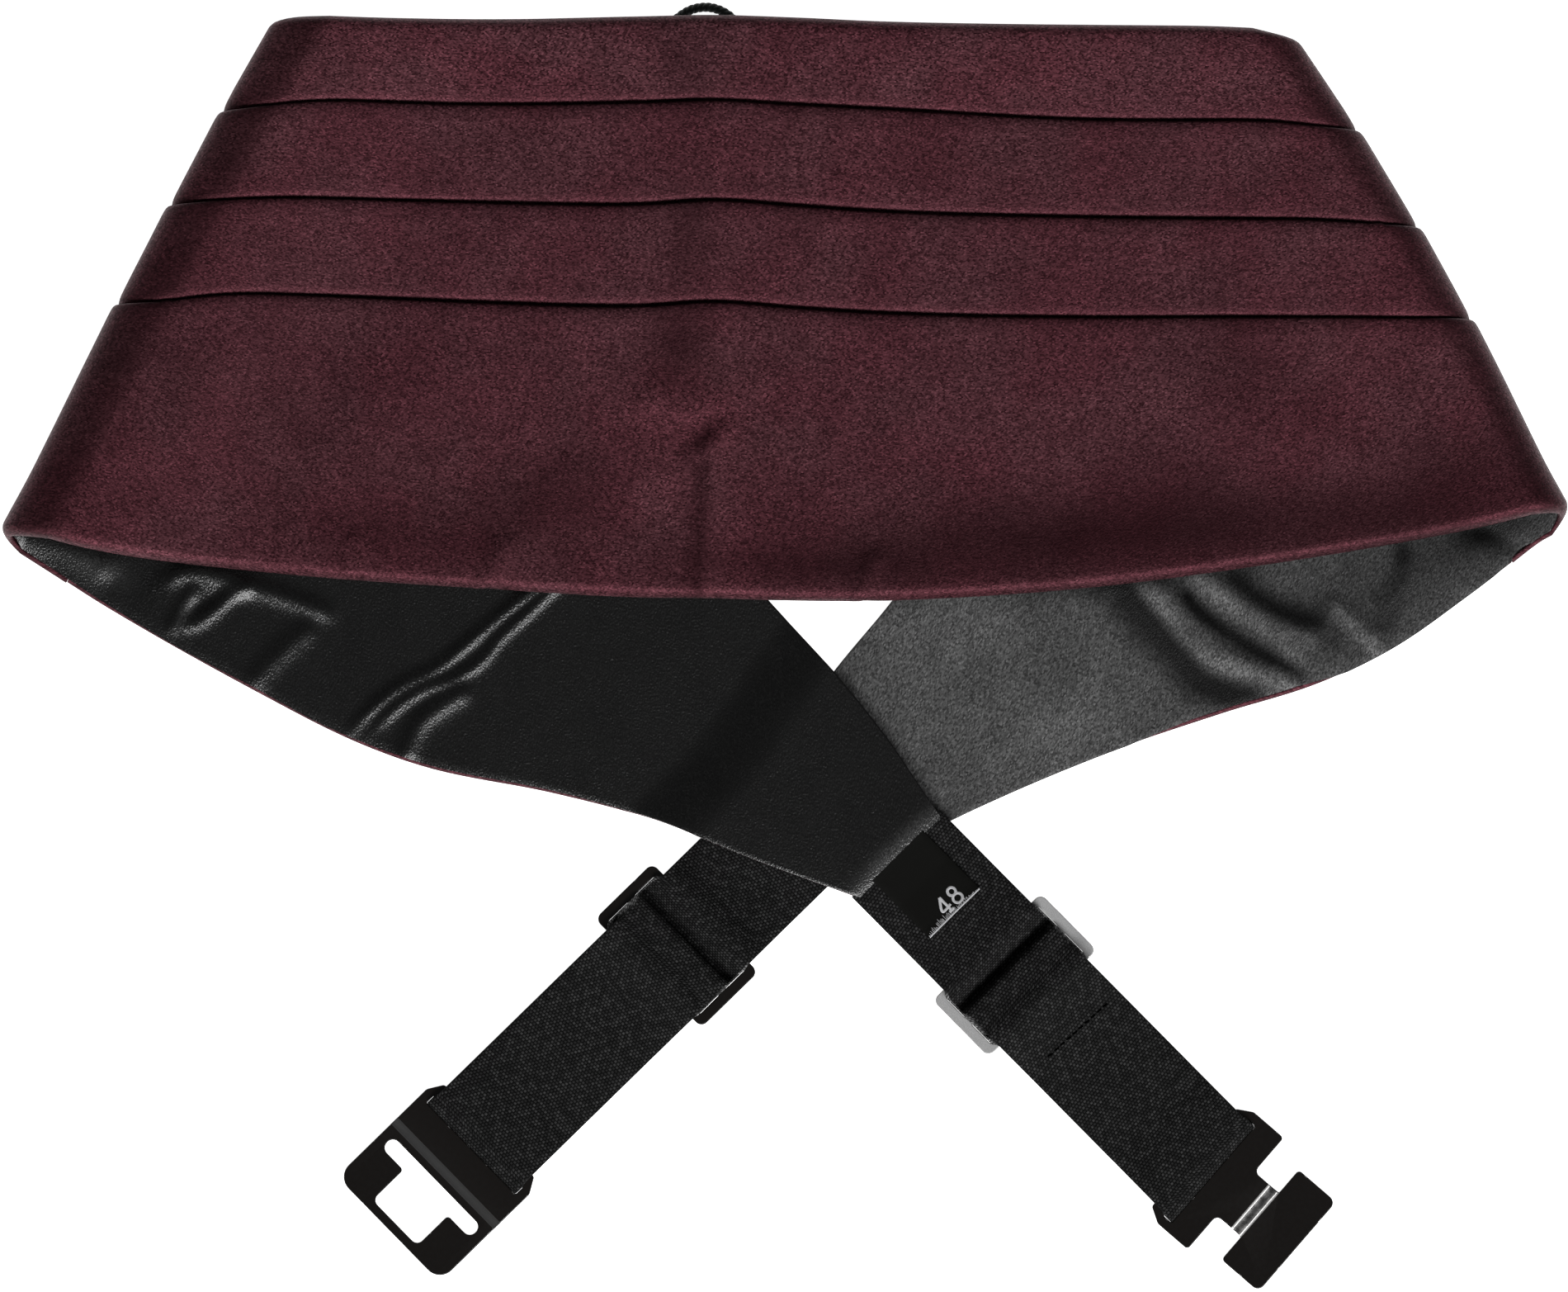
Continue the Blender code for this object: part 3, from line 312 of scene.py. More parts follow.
# How far in from the hem's edge a wing's lining starts, by the distance from the side fold along the hem.
LINING_COVER = {
    "left": ((0.0, 1.15), (20.0, 0.95), (45.0, 0.5), (62.0, 0.85), (75.0, 0.6), (95.0, 0.9), (130.0, 0.75),
             (150.0, 0.3), (185.0, 0.3), (200.0, 0.6), (215.0, 0.6)),
    "right": ((0.0, 1.15), (12.0, 0.9), (22.0, 0.2), (58.0, 0.1), (68.0, 1.2), (90.0, 1.1), (105.0, 0.1),
              (210.0, 0.1)),
}

# ---------------------------------------------------------------- elastics, sliders and end plates
ELASTIC_WIDTH = 25.0
ELASTIC = 0.9
ELASTIC_LENGTH = 89.6       # from the wing's end to the fold round the end plate
ELASTIC_CLEAR = 0.8         # from a bar's face to the middle of the elastic that turns round it
SLIDER_SPREAD = 0.048       # how much wider the elastic is pressed between a slider's bars
SLIDER_PRESS_TOP = 5.2      # height below which it is pressed there
SLIDER_PAINTED_SLIT = 9.0          # how much paler its edge is painted there: a painted stand-in for the shaded floor seen through the slot
PLATE_SPREAD = 0.026        # how much wider it is pressed in an end plate's slot
PLATE_PRESS_TOP = 9.0
HOOK_SIDE = dict(start=(23.3, -42.75), heading=-45.3, groove=29.0, slider_shift=-0.2, skew=-0.079,
                 approach=((-1.2, 3.95), (0.4, 3.85), (7.0, 3.55), (14.0, 3.5), (20.0, 3.8)))
SLOT_SIDE = dict(start=(1.1, -38.65), heading=224.3, groove=27.4, slider_shift=-0.35, skew=0.0,
                 approach=((-1.2, 1.15), (0.4, 1.15), (7.0, 1.15), (14.0, 1.5), (18.4, 2.5)))
SKEW_FROM, SKEW_TO = 50.0, 78.0             # stretch of the run over which the elastic takes its skew
# The row of stitches: where it starts and ends across the elastic, its pitch, its run at the middle, and its
# slant; each stitch's length and radius, and how dark its thread is beside the elastic.
STITCH_ROW, STITCH_PITCH, STITCH_RUN, STITCH_SLANT = (-6.9, 9.6), 1.65, 49.9, 0.045
STITCH_LENGTH, STITCH_RADIUS, STITCH_TINT = 1.1, 0.18, 0.06
# The elastic's middle line, as (distance past the groove between the slider's first two bars, height).
THROUGH_SLIDER = ((-5.2, 4.35), (-3.3, 4.55), (-2.0, 4.3), (-1.2, 3.5), (-0.2, 2.1), (0.8, 0.95), (2.2, 0.5),
                  (5.6, 0.5), (6.9, 0.85), (8.0, 1.85), (9.0, 3.2), (10.0, 4.35), (11.4, 4.55), (12.9, 4.2),
                  (16.0, 3.0), (20.0, 1.7), (25.0, 0.8), (30.0, 0.5))
BACK_TO_SLIDER = ((30.0, 1.85), (25.0, 2.15), (20.0, 3.05), (16.0, 4.4), (13.4, 5.45), (11.5, 5.9),
                  (9.8, 5.75), (8.0, 5.1))
TO_PLATE = ((16.0, 0.5), (8.0, 0.5))
FROM_PLATE = ((6.0, 3.1), (10.0, 2.8), (15.0, 2.0), (21.0, 1.85))

METAL = 1.0
SLIDER_WIDTH = 30.8
SLIDER_BARS = ((-3.9, -2.4), (3.45, 4.95), (10.75, 12.25))     # from the groove, along the elastic
SLIDER_SLOT = 26.3
SLIDER_Z = 2.7              # height of a slider's underside
PLATE_Z = 1.3               # height of an end plate's underside at its bar
PLATE_BAR = (-4.8, -1.8)
PLATE_SLOT_END = 0.4
PLATE_SLOT = 25.8
# Right halves of the outlines, each corner an (along, across, radius): an end plate's bar and shoulder, the
# hook's narrow neck and T head, the slot plate's far corner and its T-shaped opening.
PLATE_BASE = ((PLATE_BAR[0], 13.0, 0.8), (-1.6, 14.9, 1.5))
HOOK_TAIL = ((6.4, 14.9, 0.8), (6.4, 5.85, 1.2), (12.9, 5.85, 0.4), (12.9, 12.0, 0.9), (22.9, 12.0, 1.6))
SLOT_TAIL = ((23.8, 14.9, 3.4),)
T_OPENING = ((10.0, 12.7, 1.5), (13.2, 12.7, 1.5), (13.2, 6.4, 0.8), (21.9, 6.4, 1.4))
HOOK_HEADING = -40.8
# Where each plate steps down to the table, along it; its bend is that band, the brightness of the band's
# borders, of its darker and its lighter spots, and how metallic it is. On the hook plate the band is worn
# bare metal with painted highlights at its borders and a painted dim core; on the slot plate it is a painted
# lighter band, where the step catches the light.
HOOK_STEP = (10.2, 12.9)
SLOT_STEP = (6.7, 8.4)
HOOK_BEND_WEAR_AND_PAINTED_GLINT = (HOOK_STEP, 0.70, 0.035, 0.11, 1.0)
SLOT_BEND_PAINTED_LIGHT = (SLOT_STEP, 0.012, 0.014, 0.018, 0.0)

LABEL_WIDTH = 14.4
LABEL_REACH = (-0.6, 15.8)  # along the elastic
LABEL = 0.3                 # its thickness
DIGIT_HEIGHT = 3.7
DIGIT_STROKE = 0.56
DIGIT_BASE = 14.95          # along the elastic, near the label's cut end
DIGIT_PLACES = (-1.55, 1.45)
# Strokes of a 4 as (across, up), and the two ellipses of an 8 as (middle's height, half width, half height),
# all in heights of a figure.
FIGURE_4 = (((0.42, 0.0), (0.42, 0.98)), ((0.42, 0.98), (0.02, 0.30), (0.62, 0.30)),
            ((0.26, 0.02), (0.58, 0.02)))
FIGURE_8_MIDDLE = 0.32
FIGURE_8_RINGS = ((0.27, 0.27, 0.26), (0.75, 0.22, 0.23))
# The frayed end: how many warp ends stand back from it, and how long they get, at places across.
FRINGE_COUNT = 62
FRINGE_LENGTHS = ((-7.0, 0.5), (-5.5, 1.3), (-3.0, 1.7), (0.5, 1.2), (4.5, 0.7), (7.0, 0.35))

LOOP_ROUTE = ((-25.5, 122.0), (-21.8, 126.6), (-18.8, 128.5), (-15.6, 129.0), (-12.6, 128.2), (-9.8, 126.0),
              (-7.4, 121.6))
LOOP_Z = 1.35               # height of the loop's middle line
LOOP_STRAND = 0.52          # radius of each twisted strand
LOOP_TWIST = 0.46           # radius of the helix that a strand's middle follows
LOOP_PITCH = 3.4

# ---------------------------------------------------------------- the stage, in metres
# Each light's name, place and size; both are aimed at the garment.
LIGHTS = (("key", (0.80, -2.55, 2.45), (4.0, 1.2)), ("fill", (-1.9, 1.6, 3.0), (2.0, 2.0)))
WORLD_LIGHT = 0.10
SENSOR = 36.0               # width of the camera's sensor in millimetres
CAMERA_MIDDLE = (-0.000223, -0.00009)
CAMERA_FOCUS = 0.003        # height at which the picture's width is measured


# ---------------------------------------------------------------- settings
def colour_setting(name, description, default):
    """A colour that a user can change."""
    return FloatVectorProperty(name=name, description=description, default=default, subtype="COLOR", size=3,
                               min=0, max=1)


def length_setting(name, description, default, least, most):
    """A length that a user can change, in metres."""
    return FloatProperty(name=name, description=description, default=default, min=least, max=most,
                         unit="LENGTH")


class CummerbundCloth(bpy.types.PropertyGroup):
    """Sizes and colours of the satin and the lining."""

    satin: colour_setting("Satin", "Colour of the outer cloth", (0.0255, 0.0078, 0.0102))
    lining: colour_setting("Lining", "Colour of the lining", (0.0021, 0.0021, 0.0021))
    step: length_setting(
        "Mesh step", "Distance between the points of the satin's grid", 0.0012, 0.0006, 0.004)
    crease_step: length_setting(
        "Lining mesh step", "Distance between the points of a lining's grid", 0.0008, 0.0005, 0.004)
    float_length: length_setting("Float length", "Length of the satin's floats", 0.00042, 0.0001, 0.002)


class CummerbundBand(bpy.types.PropertyGroup):
    """Colours and sizes of the elastics, the label and the button loop."""

    elastic: colour_setting("Elastic", "Colour of the elastics", (0.0054, 0.0054, 0.0054))
    rib: length_setting("Rib", "Distance between the elastic's cross ribs", 0.00064, 0.0002, 0.002)
    step: length_setting("Mesh step", "Distance between the rings of an elastic", 0.0005, 0.0002, 0.004)
    ribbon: colour_setting("Label", "Colour of the label's ribbon", (0.0016, 0.0016, 0.0013))
    thread: colour_setting("Thread", "Colour of the label's figures and its cut edge", (0.36, 0.36, 0.37))
    yarn: colour_setting("Loop", "Colour of the button loop", (0.0060, 0.0078, 0.0070))


class CummerbundMetal(bpy.types.PropertyGroup):
    """Colours and sizes of the sliders and the end plates."""

    paint: colour_setting("Paint", "Colour of the black paint", (0.0022, 0.0016, 0.0013))
    bare: colour_setting("Bare metal", "Colour where the paint is worn off", (0.42, 0.415, 0.41))
    grey: colour_setting("Grey finish", "Colour of the blasted slider", (0.205, 0.205, 0.205))
    edge: length_setting("Edge rounding", "Radius of the metal's edges", 0.00022, 0.00005, 0.0004)


class CummerbundStage(bpy.types.PropertyGroup):
    """The floor, the lights and the camera."""

    floor: colour_setting("Floor", "Colour of the floor", (0.88, 0.88, 0.875))
    glow: FloatProperty(
        name="Floor glow", description="Light that comes through the floor, so that shadows stay pale",
        default=0.95, min=0.0)
    floor_size: length_setting("Floor size", "Width of the floor", 14.0, 1.0, 100.0)
    key_power: FloatProperty(
        name="Key light", description="Power of the large soft light, in watts", default=330.0, min=0.0,
        subtype="POWER")
    fill_power: FloatProperty(
        name="Fill light", description="Power of the weak light from the other side, in watts", default=22.0,
        min=0.0, subtype="POWER")
    lens: FloatProperty(name="Lens", description="Focal length in millimetres", default=500.0, min=50.0)
    picture: length_setting(
        "Picture width", "How much of the floor the picture takes in", 0.31667, 0.05, 10.0)


# ---------------------------------------------------------------- small geometry tools
def smooth(knots, values, at):
    """Cubic through the knots: at each knot its slope is the mean of the slopes of the two chords there."""
    knots = np.asarray(knots, float)
    values = np.asarray(values, float)
    chord = np.diff(values) / np.diff(knots)
    slope = np.concatenate([chord[:1], (chord[:-1] + chord[1:]) / 2, chord[-1:]])
    at = np.clip(at, knots[0], knots[-1])
    i = np.clip(np.searchsorted(knots, at, side="right") - 1, 0, len(knots) - 2)
    step = knots[i + 1] - knots[i]
    t = (at - knots[i]) / step
    return ((2 * t**3 - 3 * t**2 + 1) * values[i] + (t**3 - 2 * t**2 + t) * step * slope[i]
            + (3 * t**2 - 2 * t**3) * values[i + 1] + (t**3 - t**2) * step * slope[i + 1])


def ease(t):
    """Rise from 0 to 1 with level ends: 3 t squared less 2 t cubed."""
    t = np.clip(t, 0.0, 1.0)
    return t * t * (3 - 2 * t)


def unit(vectors):
    """Vectors brought to length 1, those of no length left so."""
    return vectors / np.maximum(np.linalg.norm(vectors, axis=-1, keepdims=True), 1e-12)


def lengths(points, axis=0):
    """Distance run along an axis of an array of points, from 0 at its first."""
    run = np.cumsum(np.linalg.norm(np.diff(points, axis=axis), axis=-1), axis=axis)
    return np.concatenate([np.zeros_like(run.take([0], axis=axis)), run], axis=axis)


def along(points, share):
    """The point at a share of a curve's length, on a smooth curve through its points."""
    points = np.asarray(points, float)
    run = lengths(points)
    return np.stack([smooth(run / run[-1], values, share) for values in points.T], axis=-1)


def evenly(points, step):
    """A smooth curve through the points, read at even distances."""
    count = max(int(lengths(points)[-1] / step), 8)
    return along(points, np.linspace(0, 1, count))


def nearest_on(path, x, y):
    """For each point, its distance from a line of points, the share of the line's stretches up to the nearest
    place on it, and the side it lies on: 1 left of the line, -1 right of it."""
    nearest = np.full(x.shape, 1e6)
    run = np.zeros(x.shape)
    side = np.zeros(x.shape)
    for index, (start, end) in enumerate(zip(path[:-1], path[1:])):
        step = end - start
        share = np.clip(((x - start[0]) * step[0] + (y - start[1]) * step[1]) / (step @ step), 0, 1)
        away = np.hypot(x - start[0] - share * step[0], y - start[1] - share * step[1])
        closer = away < nearest
        nearest = np.where(closer, away, nearest)
        run = np.where(closer, (index + share) / (len(path) - 1), run)
        side = np.where(closer, np.sign(step[0] * (y - start[1]) - step[1] * (x - start[0])), side)
    return nearest, run, side


def relief(creases, x, y):
    """Sum of ridges, each along a smooth curve: its height times a fall-off with the distance from the curve,
    a bell for a round crest or an exponential for a sharp one, easing to nothing at both its ends."""
    total = np.zeros(x.shape)
    for points, width, height, *sharp in creases:
        away, run, _ = nearest_on(along(points, np.linspace(0, 1, 4 * len(points))), x, y)
        fall = np.exp(-1.6 * away / width) if sharp else np.exp(-2 * (away / width) ** 2)
        total += height * ease(run / CREASE_FADE) * ease((1 - run) / CREASE_FADE) * fall
    return total


def toned(tones, x, y):
    """Product of soft ovals, each 1 far off and its factor at its middle, falling off as a bell."""
    total = np.ones(x.shape)
    for at_x, at_y, length, width, heading, factor in tones:
        turn = math.radians(heading)
        run = (x - at_x) * math.cos(turn) + (y - at_y) * math.sin(turn)
        off = (y - at_y) * math.cos(turn) - (x - at_x) * math.sin(turn)
        total *= 1 + (factor - 1) * np.exp(-((run / length) ** 2 + (off / width) ** 2))
    return total


# ---------------------------------------------------------------- the garment's outer face
def fold_axes(side):
    """Unit vectors of a side fold seen from above: down along it, and outward across it."""
    down = unit(np.subtract(FOLDS[side]["hem"], FOLDS[side]["top"]))
    outward = np.array([down[1], -down[0]]) if side == "left" else np.array([-down[1], down[0]])
    return down, outward


def fold_share(side, line):
    """Share of a side fold's length above a long line, 0 the top edge and 4 the hem."""
    return np.interp(line, range(5), FOLDS[side]["lines"])


def fold_turn(side, line, angle):
    """A point of a side fold, at angle 90 degrees on the front, 0 at its outer edge and -90 underneath.

    Half a cylinder, whose upper half is stretched inward to an ellipse along the garment's long lines. Lines
    cross the fold aslant, so they slip along it in proportion to the angle.
    """
    share = fold_share(side, line)[..., None]
    down, outward = fold_axes(side)
    fold = FOLDS[side]
    edge = np.array(fold["top"]) + share * np.subtract(fold["hem"], fold["top"])
    edge = edge + outward * fold["bow"] * np.sin(np.pi * share)
    radius = FOLD_RADIUS[0] + share * (FOLD_RADIUS[1] - FOLD_RADIUS[0])
    slip = fold["slip"][0] + share * (fold["slip"][1] - fold["slip"][0])
    turn = np.asarray(angle, float)[..., None]
    rise = np.interp(share, fold["lines"], fold["rises"])
    level = np.sign(outward[0]) * np.array([1.0, 0.0]) + rise * np.array([0.0, 1.0])
    plan = edge - outward * radius * (1 - np.cos(turn)) - down * slip * turn / (math.pi / 2)
    plan = plan - level * np.where(turn > 0, (fold["shoulder"] - radius) * (1 - np.cos(turn)), 0.0)
    return np.concatenate([plan, radius * (1 + np.sin(turn))], axis=-1)


def wing(side, line, reach):
    """A point of a wing at a share of its length: on the straight line between its two long edges."""
    share = fold_share(side, line)
    edges = []
    for name, edge_line in (("top", 0.0), ("hem", 4.0)):
        start = fold_turn(side, np.full(1, edge_line), np.full(1, -math.pi / 2))[0, :2]
        edges.append(along((tuple(start),) + WING_EDGES[side][name], reach))
    plan = edges[0] + (edges[1] - edges[0]) * share[..., None]
    bow = FOLDS[side]["bow"] * np.sin(np.pi * share) * np.clip(1 - reach / (SIDE_SEAM - 0.01), 0, 1)
    plan = plan + fold_axes(side)[1] * bow[..., None]
    lift = crossing_lift(plan[..., 0], plan[..., 1]) if side == "left" else np.zeros(share.shape)
    return np.concatenate([plan, lift[..., None]], axis=-1)


def crossing_lift(x, y):
    """Height of the left wing's outer face: level over what it crosses, easing to the table before it."""
    away, _, side = nearest_on(np.array(UNDER_LEFT_WING), x, y)
    return CROSSING_LIFT * ease((side * away + CROSSING_RUN) / CROSSING_RUN)


def front(line, across):
    """A point of the front: its long lines blended across, its height coming down from the folds, and
    creases."""
    quarter = math.pi / 2
    left, right = (fold_turn(side, line, np.full(line.shape, quarter)) for side in SIDES)
    table = np.asarray(FRONT_LINES)
    upper = np.clip(np.floor(line), 0, 3).astype(int)
    part = line - upper
    near_left = np.clip(1 - across / FOLD_SHARE, 0, 1) ** 2
    near_right = np.clip(1 - (1 - across) / FOLD_SHARE, 0, 1) ** 2
    x = np.zeros(line.shape)
    y = np.zeros(line.shape)
    for index in range(5):
        weight = np.where(upper == index, 1 - part, 0) + np.where(upper + 1 == index, part, 0)
        start, end = (fold_turn(side, np.full(1, float(index)), np.full(1, quarter))[0] for side in SIDES)
        line_x = start[0] + across * (end[0] - start[0])
        height, at_start, at_end = (smooth(table[:, 0], table[:, 1 + index], at)
                                    for at in (line_x, start[0], end[0]))
        x = x + weight * line_x
        y = y + weight * (height + near_left * (start[1] - at_start) + near_right * (end[1] - at_end))
    z = SKIN_OVER_WINGS + (left[..., 2] - SKIN_OVER_WINGS) * (1 - ease((x - left[..., 0]) / FOLD_FALL))
    z = z + (right[..., 2] - SKIN_OVER_WINGS) * (1 - ease((right[..., 0] - x) / FOLD_FALL))
    return np.stack([x, y, z + relief(FRONT_CREASES, x, y)], axis=-1)


def skin(place, line):
    """The garment's outer face: place runs from the left wing's end, 0, to the right wing's end, 5."""
    place, line = np.broadcast_arrays(np.asarray(place, float), np.asarray(line, float))
    stretch = np.clip(np.floor(place), 0, 4).astype(int)
    part = place - stretch
    makers = (
        lambda at, share: wing("left", at, 1 - share),
        lambda at, share: fold_turn("left", at, (share - 0.5) * math.pi),
        front,
        lambda at, share: fold_turn("right", at, (0.5 - share) * math.pi),
        lambda at, share: wing("right", at, share),
    )
    result = np.zeros(place.shape + (3,))
    for index, maker in enumerate(makers):
        here = stretch == index
        if here.any():
            result[here] = maker(line[here], part[here])
    return result


def skin_normals(place, line):
    """Outward normals of the skin: the cross product of its slopes, that along it the mean of both sides."""
    step = 1e-4
    place, line = np.broadcast_arrays(np.asarray(place, float), np.asarray(line, float))
    here = skin(place, line)
    before = here - skin(np.maximum(place - step, LEFT_END), line)
    after = skin(np.minimum(place + step, RIGHT_END), line) - here
    down = skin(place, np.clip(line + step, 0, 4)) - skin(place, np.clip(line - step, 0, 4))
    return unit(np.cross(down, unit(before) + unit(after)))


def under_skin(places, line, depth):
    """Points at depths under the garment's outer face, along its normals: a row of them for each place."""
    place = np.broadcast_to(places[:, None], line.shape)
    return skin(place, line) - skin_normals(place, line) * depth[..., None]


def lines_at(places, index, below):
    """Line values at true distances below a long line (above it where negative), one for each place."""
    other = np.clip(index + 1 if below >= 0 else index - 1, 0, 4)
    start, end = (skin(places, np.full(len(places), float(at))) for at in (index, other))
    return index + below / np.linalg.norm(end - start, axis=-1)


def lines_between(places, start, end, share):
    """Line values at shares of the way from start to end, each a (long line, distance below it)."""
    first, last = (lines_at(places, *at)[:, None] for at in (start, end))
    return first + (last - first) * share


# ---------------------------------------------------------------- meshes
def shown(name, data, finish):
    """An object at the origin with a mesh and a finish."""
    data.materials.append(finish)
    item = bpy.data.objects.new(name, data)
    bpy.context.scene.collection.objects.link(item)
    return item


def make_mesh(name, points, faces, corners, finish, sharp=50.0, tone=None):
    """A mesh object in the row frame, from points in millimetres, faces, the UV of each face's corners and
    the tone of each point, which is its painted light and shade."""
    data = bpy.data.meshes.new(name)
    placed = (points.reshape(-1, 3) - (*ORIGIN, 0.0)) * MM
    data.from_pydata(placed, [], faces)
    layer = data.uv_layers.new(name=PATTERN)
    layer.data.foreach_set("uv", (np.asarray(corners, float) * MM).ravel())
    tones = np.ones(len(placed)) if tone is None else np.asarray(tone, float).ravel()
    data.attributes.new(PAINTED_TONE, "FLOAT", "POINT").data.foreach_set("value", tones)
    data.shade_smooth()
    data.set_sharp_from_angle(angle=math.radians(sharp))
    return shown(name, data, finish)


def ring_mesh(name, rings, finish, tone=None):
    """A closed skin over rings of equal length, with a face across each end.

    The UV of a point is its distance along the rings and its distance round its own ring.
    """
    count, size = rings.shape[:2]
    closed = np.concatenate([rings, rings[:, :1]], axis=1)
    long_run = lengths(closed)
    uv = np.stack([long_run - long_run[count // 2], lengths(closed, 1)], axis=-1)
    i, j = (index.ravel() for index in np.meshgrid(np.arange(count - 1), np.arange(size), indexing="ij"))
    k = (j + 1) % size
    faces = np.stack([i * size + j, i * size + k, (i + 1) * size + k, (i + 1) * size + j], axis=1)
    corners = np.stack([uv[i, j], uv[i, j + 1], uv[i + 1, j + 1], uv[i + 1, j]], axis=1).reshape(-1, 2)
    corners = np.concatenate([corners, uv[0, size - 1::-1], uv[-1, :size]])
    volume = closed_volume(rings, faces)
    faces = faces.tolist() + [list(range(size - 1, -1, -1)), list(range((count - 1) * size, count * size))]
    if volume < 0:
        faces, corners = turned(faces, corners)
    return make_mesh(name, rings, faces, corners, finish, tone=tone)


def closed_volume(rings, faces):
    """Signed volume within the side faces, each counted as a fan of two triangles seen from the middle."""
    points = rings.reshape(-1, 3) - rings.reshape(-1, 3).mean(axis=0)
    a, b, c, d = (points[faces[:, k]] for k in range(4))
    return (np.einsum("ij,ij->i", a, np.cross(b, c)) + np.einsum("ij,ij->i", a, np.cross(c, d))).sum() / 6


def turned(faces, corners):
    """The same faces and corners, looking the other way."""
    ends = np.cumsum([len(face) for face in faces])
    order = [np.arange(end - 1, end - len(face) - 1, -1) for end, face in zip(ends, faces)]
    return [face[::-1] for face in faces], corners[np.concatenate(order)]


def swept(name, middle, profile, finish):
    """A profile carried along a path: each point is the middle plus the profile's two measures along the
    path's level normal and its other one."""
    step = unit(np.gradient(middle, axis=0))
    across = unit(np.cross(step, (0.0, 0.0, 1.0)))
    other = np.cross(across, step)
    rings = middle[:, None] + across[:, None] * profile[..., 0, None] + other[:, None] * profile[..., 1, None]
    return ring_mesh(name, rings, finish)


def circle(radius, count):
    """A circle's points, one for each of the count directions."""
    angles = np.linspace(0, 2 * math.pi, count, endpoint=False)
    return np.stack([radius * np.cos(angles), radius * np.sin(angles)], axis=-1)[None]


def joined(name, parts):
    """Several mesh objects made one, under a name."""
    with bpy.context.temp_override(active_object=parts[0], selected_editable_objects=parts):
        bpy.ops.object.join()
    parts[0].name = name
    parts[0].data.name = name
    return parts[0]


# ---------------------------------------------------------------- finishes
def maths(operation, swapped=False):
    """A method of Wire that adds a Math node on the wire and another value, their order swapped or not."""
    def method(self, other=0.0):
        """The Math node's result."""
        first, second = (other, self) if swapped else (self, other)
        return self.finish.node("ShaderNodeMath", {"operation": operation}, {0: first, 1: second})
    return method


class Wire:
    """A node's output, on which arithmetic adds Math nodes."""

    __add__, __radd__ = maths("ADD"), maths("ADD", True)
    __sub__, __rsub__ = maths("SUBTRACT"), maths("SUBTRACT", True)
    __mul__, __rmul__ = maths("MULTIPLY"), maths("MULTIPLY", True)
    __truediv__, __rtruediv__ = maths("DIVIDE"), maths("DIVIDE", True)
    sine, size, whole = maths("SINE"), maths("ABSOLUTE"), maths("FLOOR")

    def __init__(self, finish, output):
        """Of a finish, one of its nodes' outputs."""
        self.finish = finish
        self.output = output

    def between(self, low, high):
        """0 below low, 1 above high, easing between them."""
        return self.finish.node("ShaderNodeMapRange", {"interpolation_type": "SMOOTHSTEP"},
                                {"Value": self, "From Min": low, "From Max": high})


class Finish:
    """A material in the making, with its Principled shader."""

    def __init__(self, name, **constants):
        """A new material, with the shader's sockets that stay constant."""
        self.material = bpy.data.materials.new(name)
        self.material.use_nodes = True
        self.tree = self.material.node_tree
        self.shader = self.tree.nodes["Principled BSDF"]
        self.shade(**constants)

    def put(self, node, socket, value):
        """A value or a link for one of a node's sockets."""
        target = node.inputs[socket]
        if isinstance(value, Wire):
            self.tree.links.new(value.output, target)
        elif target.type == "RGBA" and len(value) == 3:
            target.default_value = (*value, 1.0)
        else:
            target.default_value = value

    def node(self, kind, settings=None, sockets=None, output=0):
        """A node of a kind, its settings first and then its sockets' values and links, as one of its
        outputs."""
        node = self.tree.nodes.new(kind)
        for name, value in (settings or {}).items():
            setattr(node, name, value)
        for socket, value in (sockets or {}).items():
            self.put(node, socket, value)
        return Wire(self, node.outputs[output])

    def shade(self, **sockets):
        """Values and links for the shader's sockets."""
        for socket, value in sockets.items():
            self.put(self.shader, socket.replace("_", " ").title().replace("Ior", "IOR"), value)
        return self.material

    def pattern(self):
        """Metres along the piece and across it: both at once, and each as a number."""
        uv = self.node("ShaderNodeUVMap", {"uv_map": PATTERN})
        along_it, across_it = (self.node("ShaderNodeSeparateXYZ", None, {0: uv}, index) for index in (0, 1))
        return uv, along_it, across_it

    def attribute(self, name):
        """A number kept at the mesh's points."""
        return self.node("ShaderNodeAttribute", {"attribute_name": name}, output="Fac")

    def point(self, x, y):
        """Two numbers as a place."""
        return self.node("ShaderNodeCombineXYZ", None, {0: x, 1: y})

    def noise(self, place, grain, detail=2.0, roughness=0.5):
        """Clouds of a grain's size, in metres."""
        return self.node("ShaderNodeTexNoise", None,
                         {"Vector": place, "Scale": 1.0 / grain, "Detail": detail, "Roughness": roughness})

    def chance(self, x, y):
        """White noise: a value of its own for every pair of whole numbers."""
        return self.node("ShaderNodeTexWhiteNoise", {"noise_dimensions": "2D"}, {"Vector": self.point(x, y)})

    def waves(self, run, pitch):
        """A wave from 0 to 1 along a run, one in each pitch."""
        return (run * (2 * math.pi / pitch)).sine() * 0.5 + 0.5

    def mix(self, share, first, second):
        """One colour passing into another."""
        return self.node("ShaderNodeMix", {"data_type": "RGBA"}, {0: share, 6: first, 7: second}, 2)

    def scaled(self, colour, factor):
        """A colour times a number."""
        return self.node("ShaderNodeVectorMath", {"operation": "SCALE"}, {0: colour, "Scale": factor})

    def bump(self, height, distance, strength=1.0):
        """Normals tilted by the slope of a height from 0 to 1, which stands for a distance in metres."""
        return self.node("ShaderNodeBump", None,
                         {"Height": height, "Distance": distance, "Strength": strength})


def tinted(colour, factor):
    """A colour made lighter or darker."""
    return tuple(min(value * factor, 1.0) for value in colour)


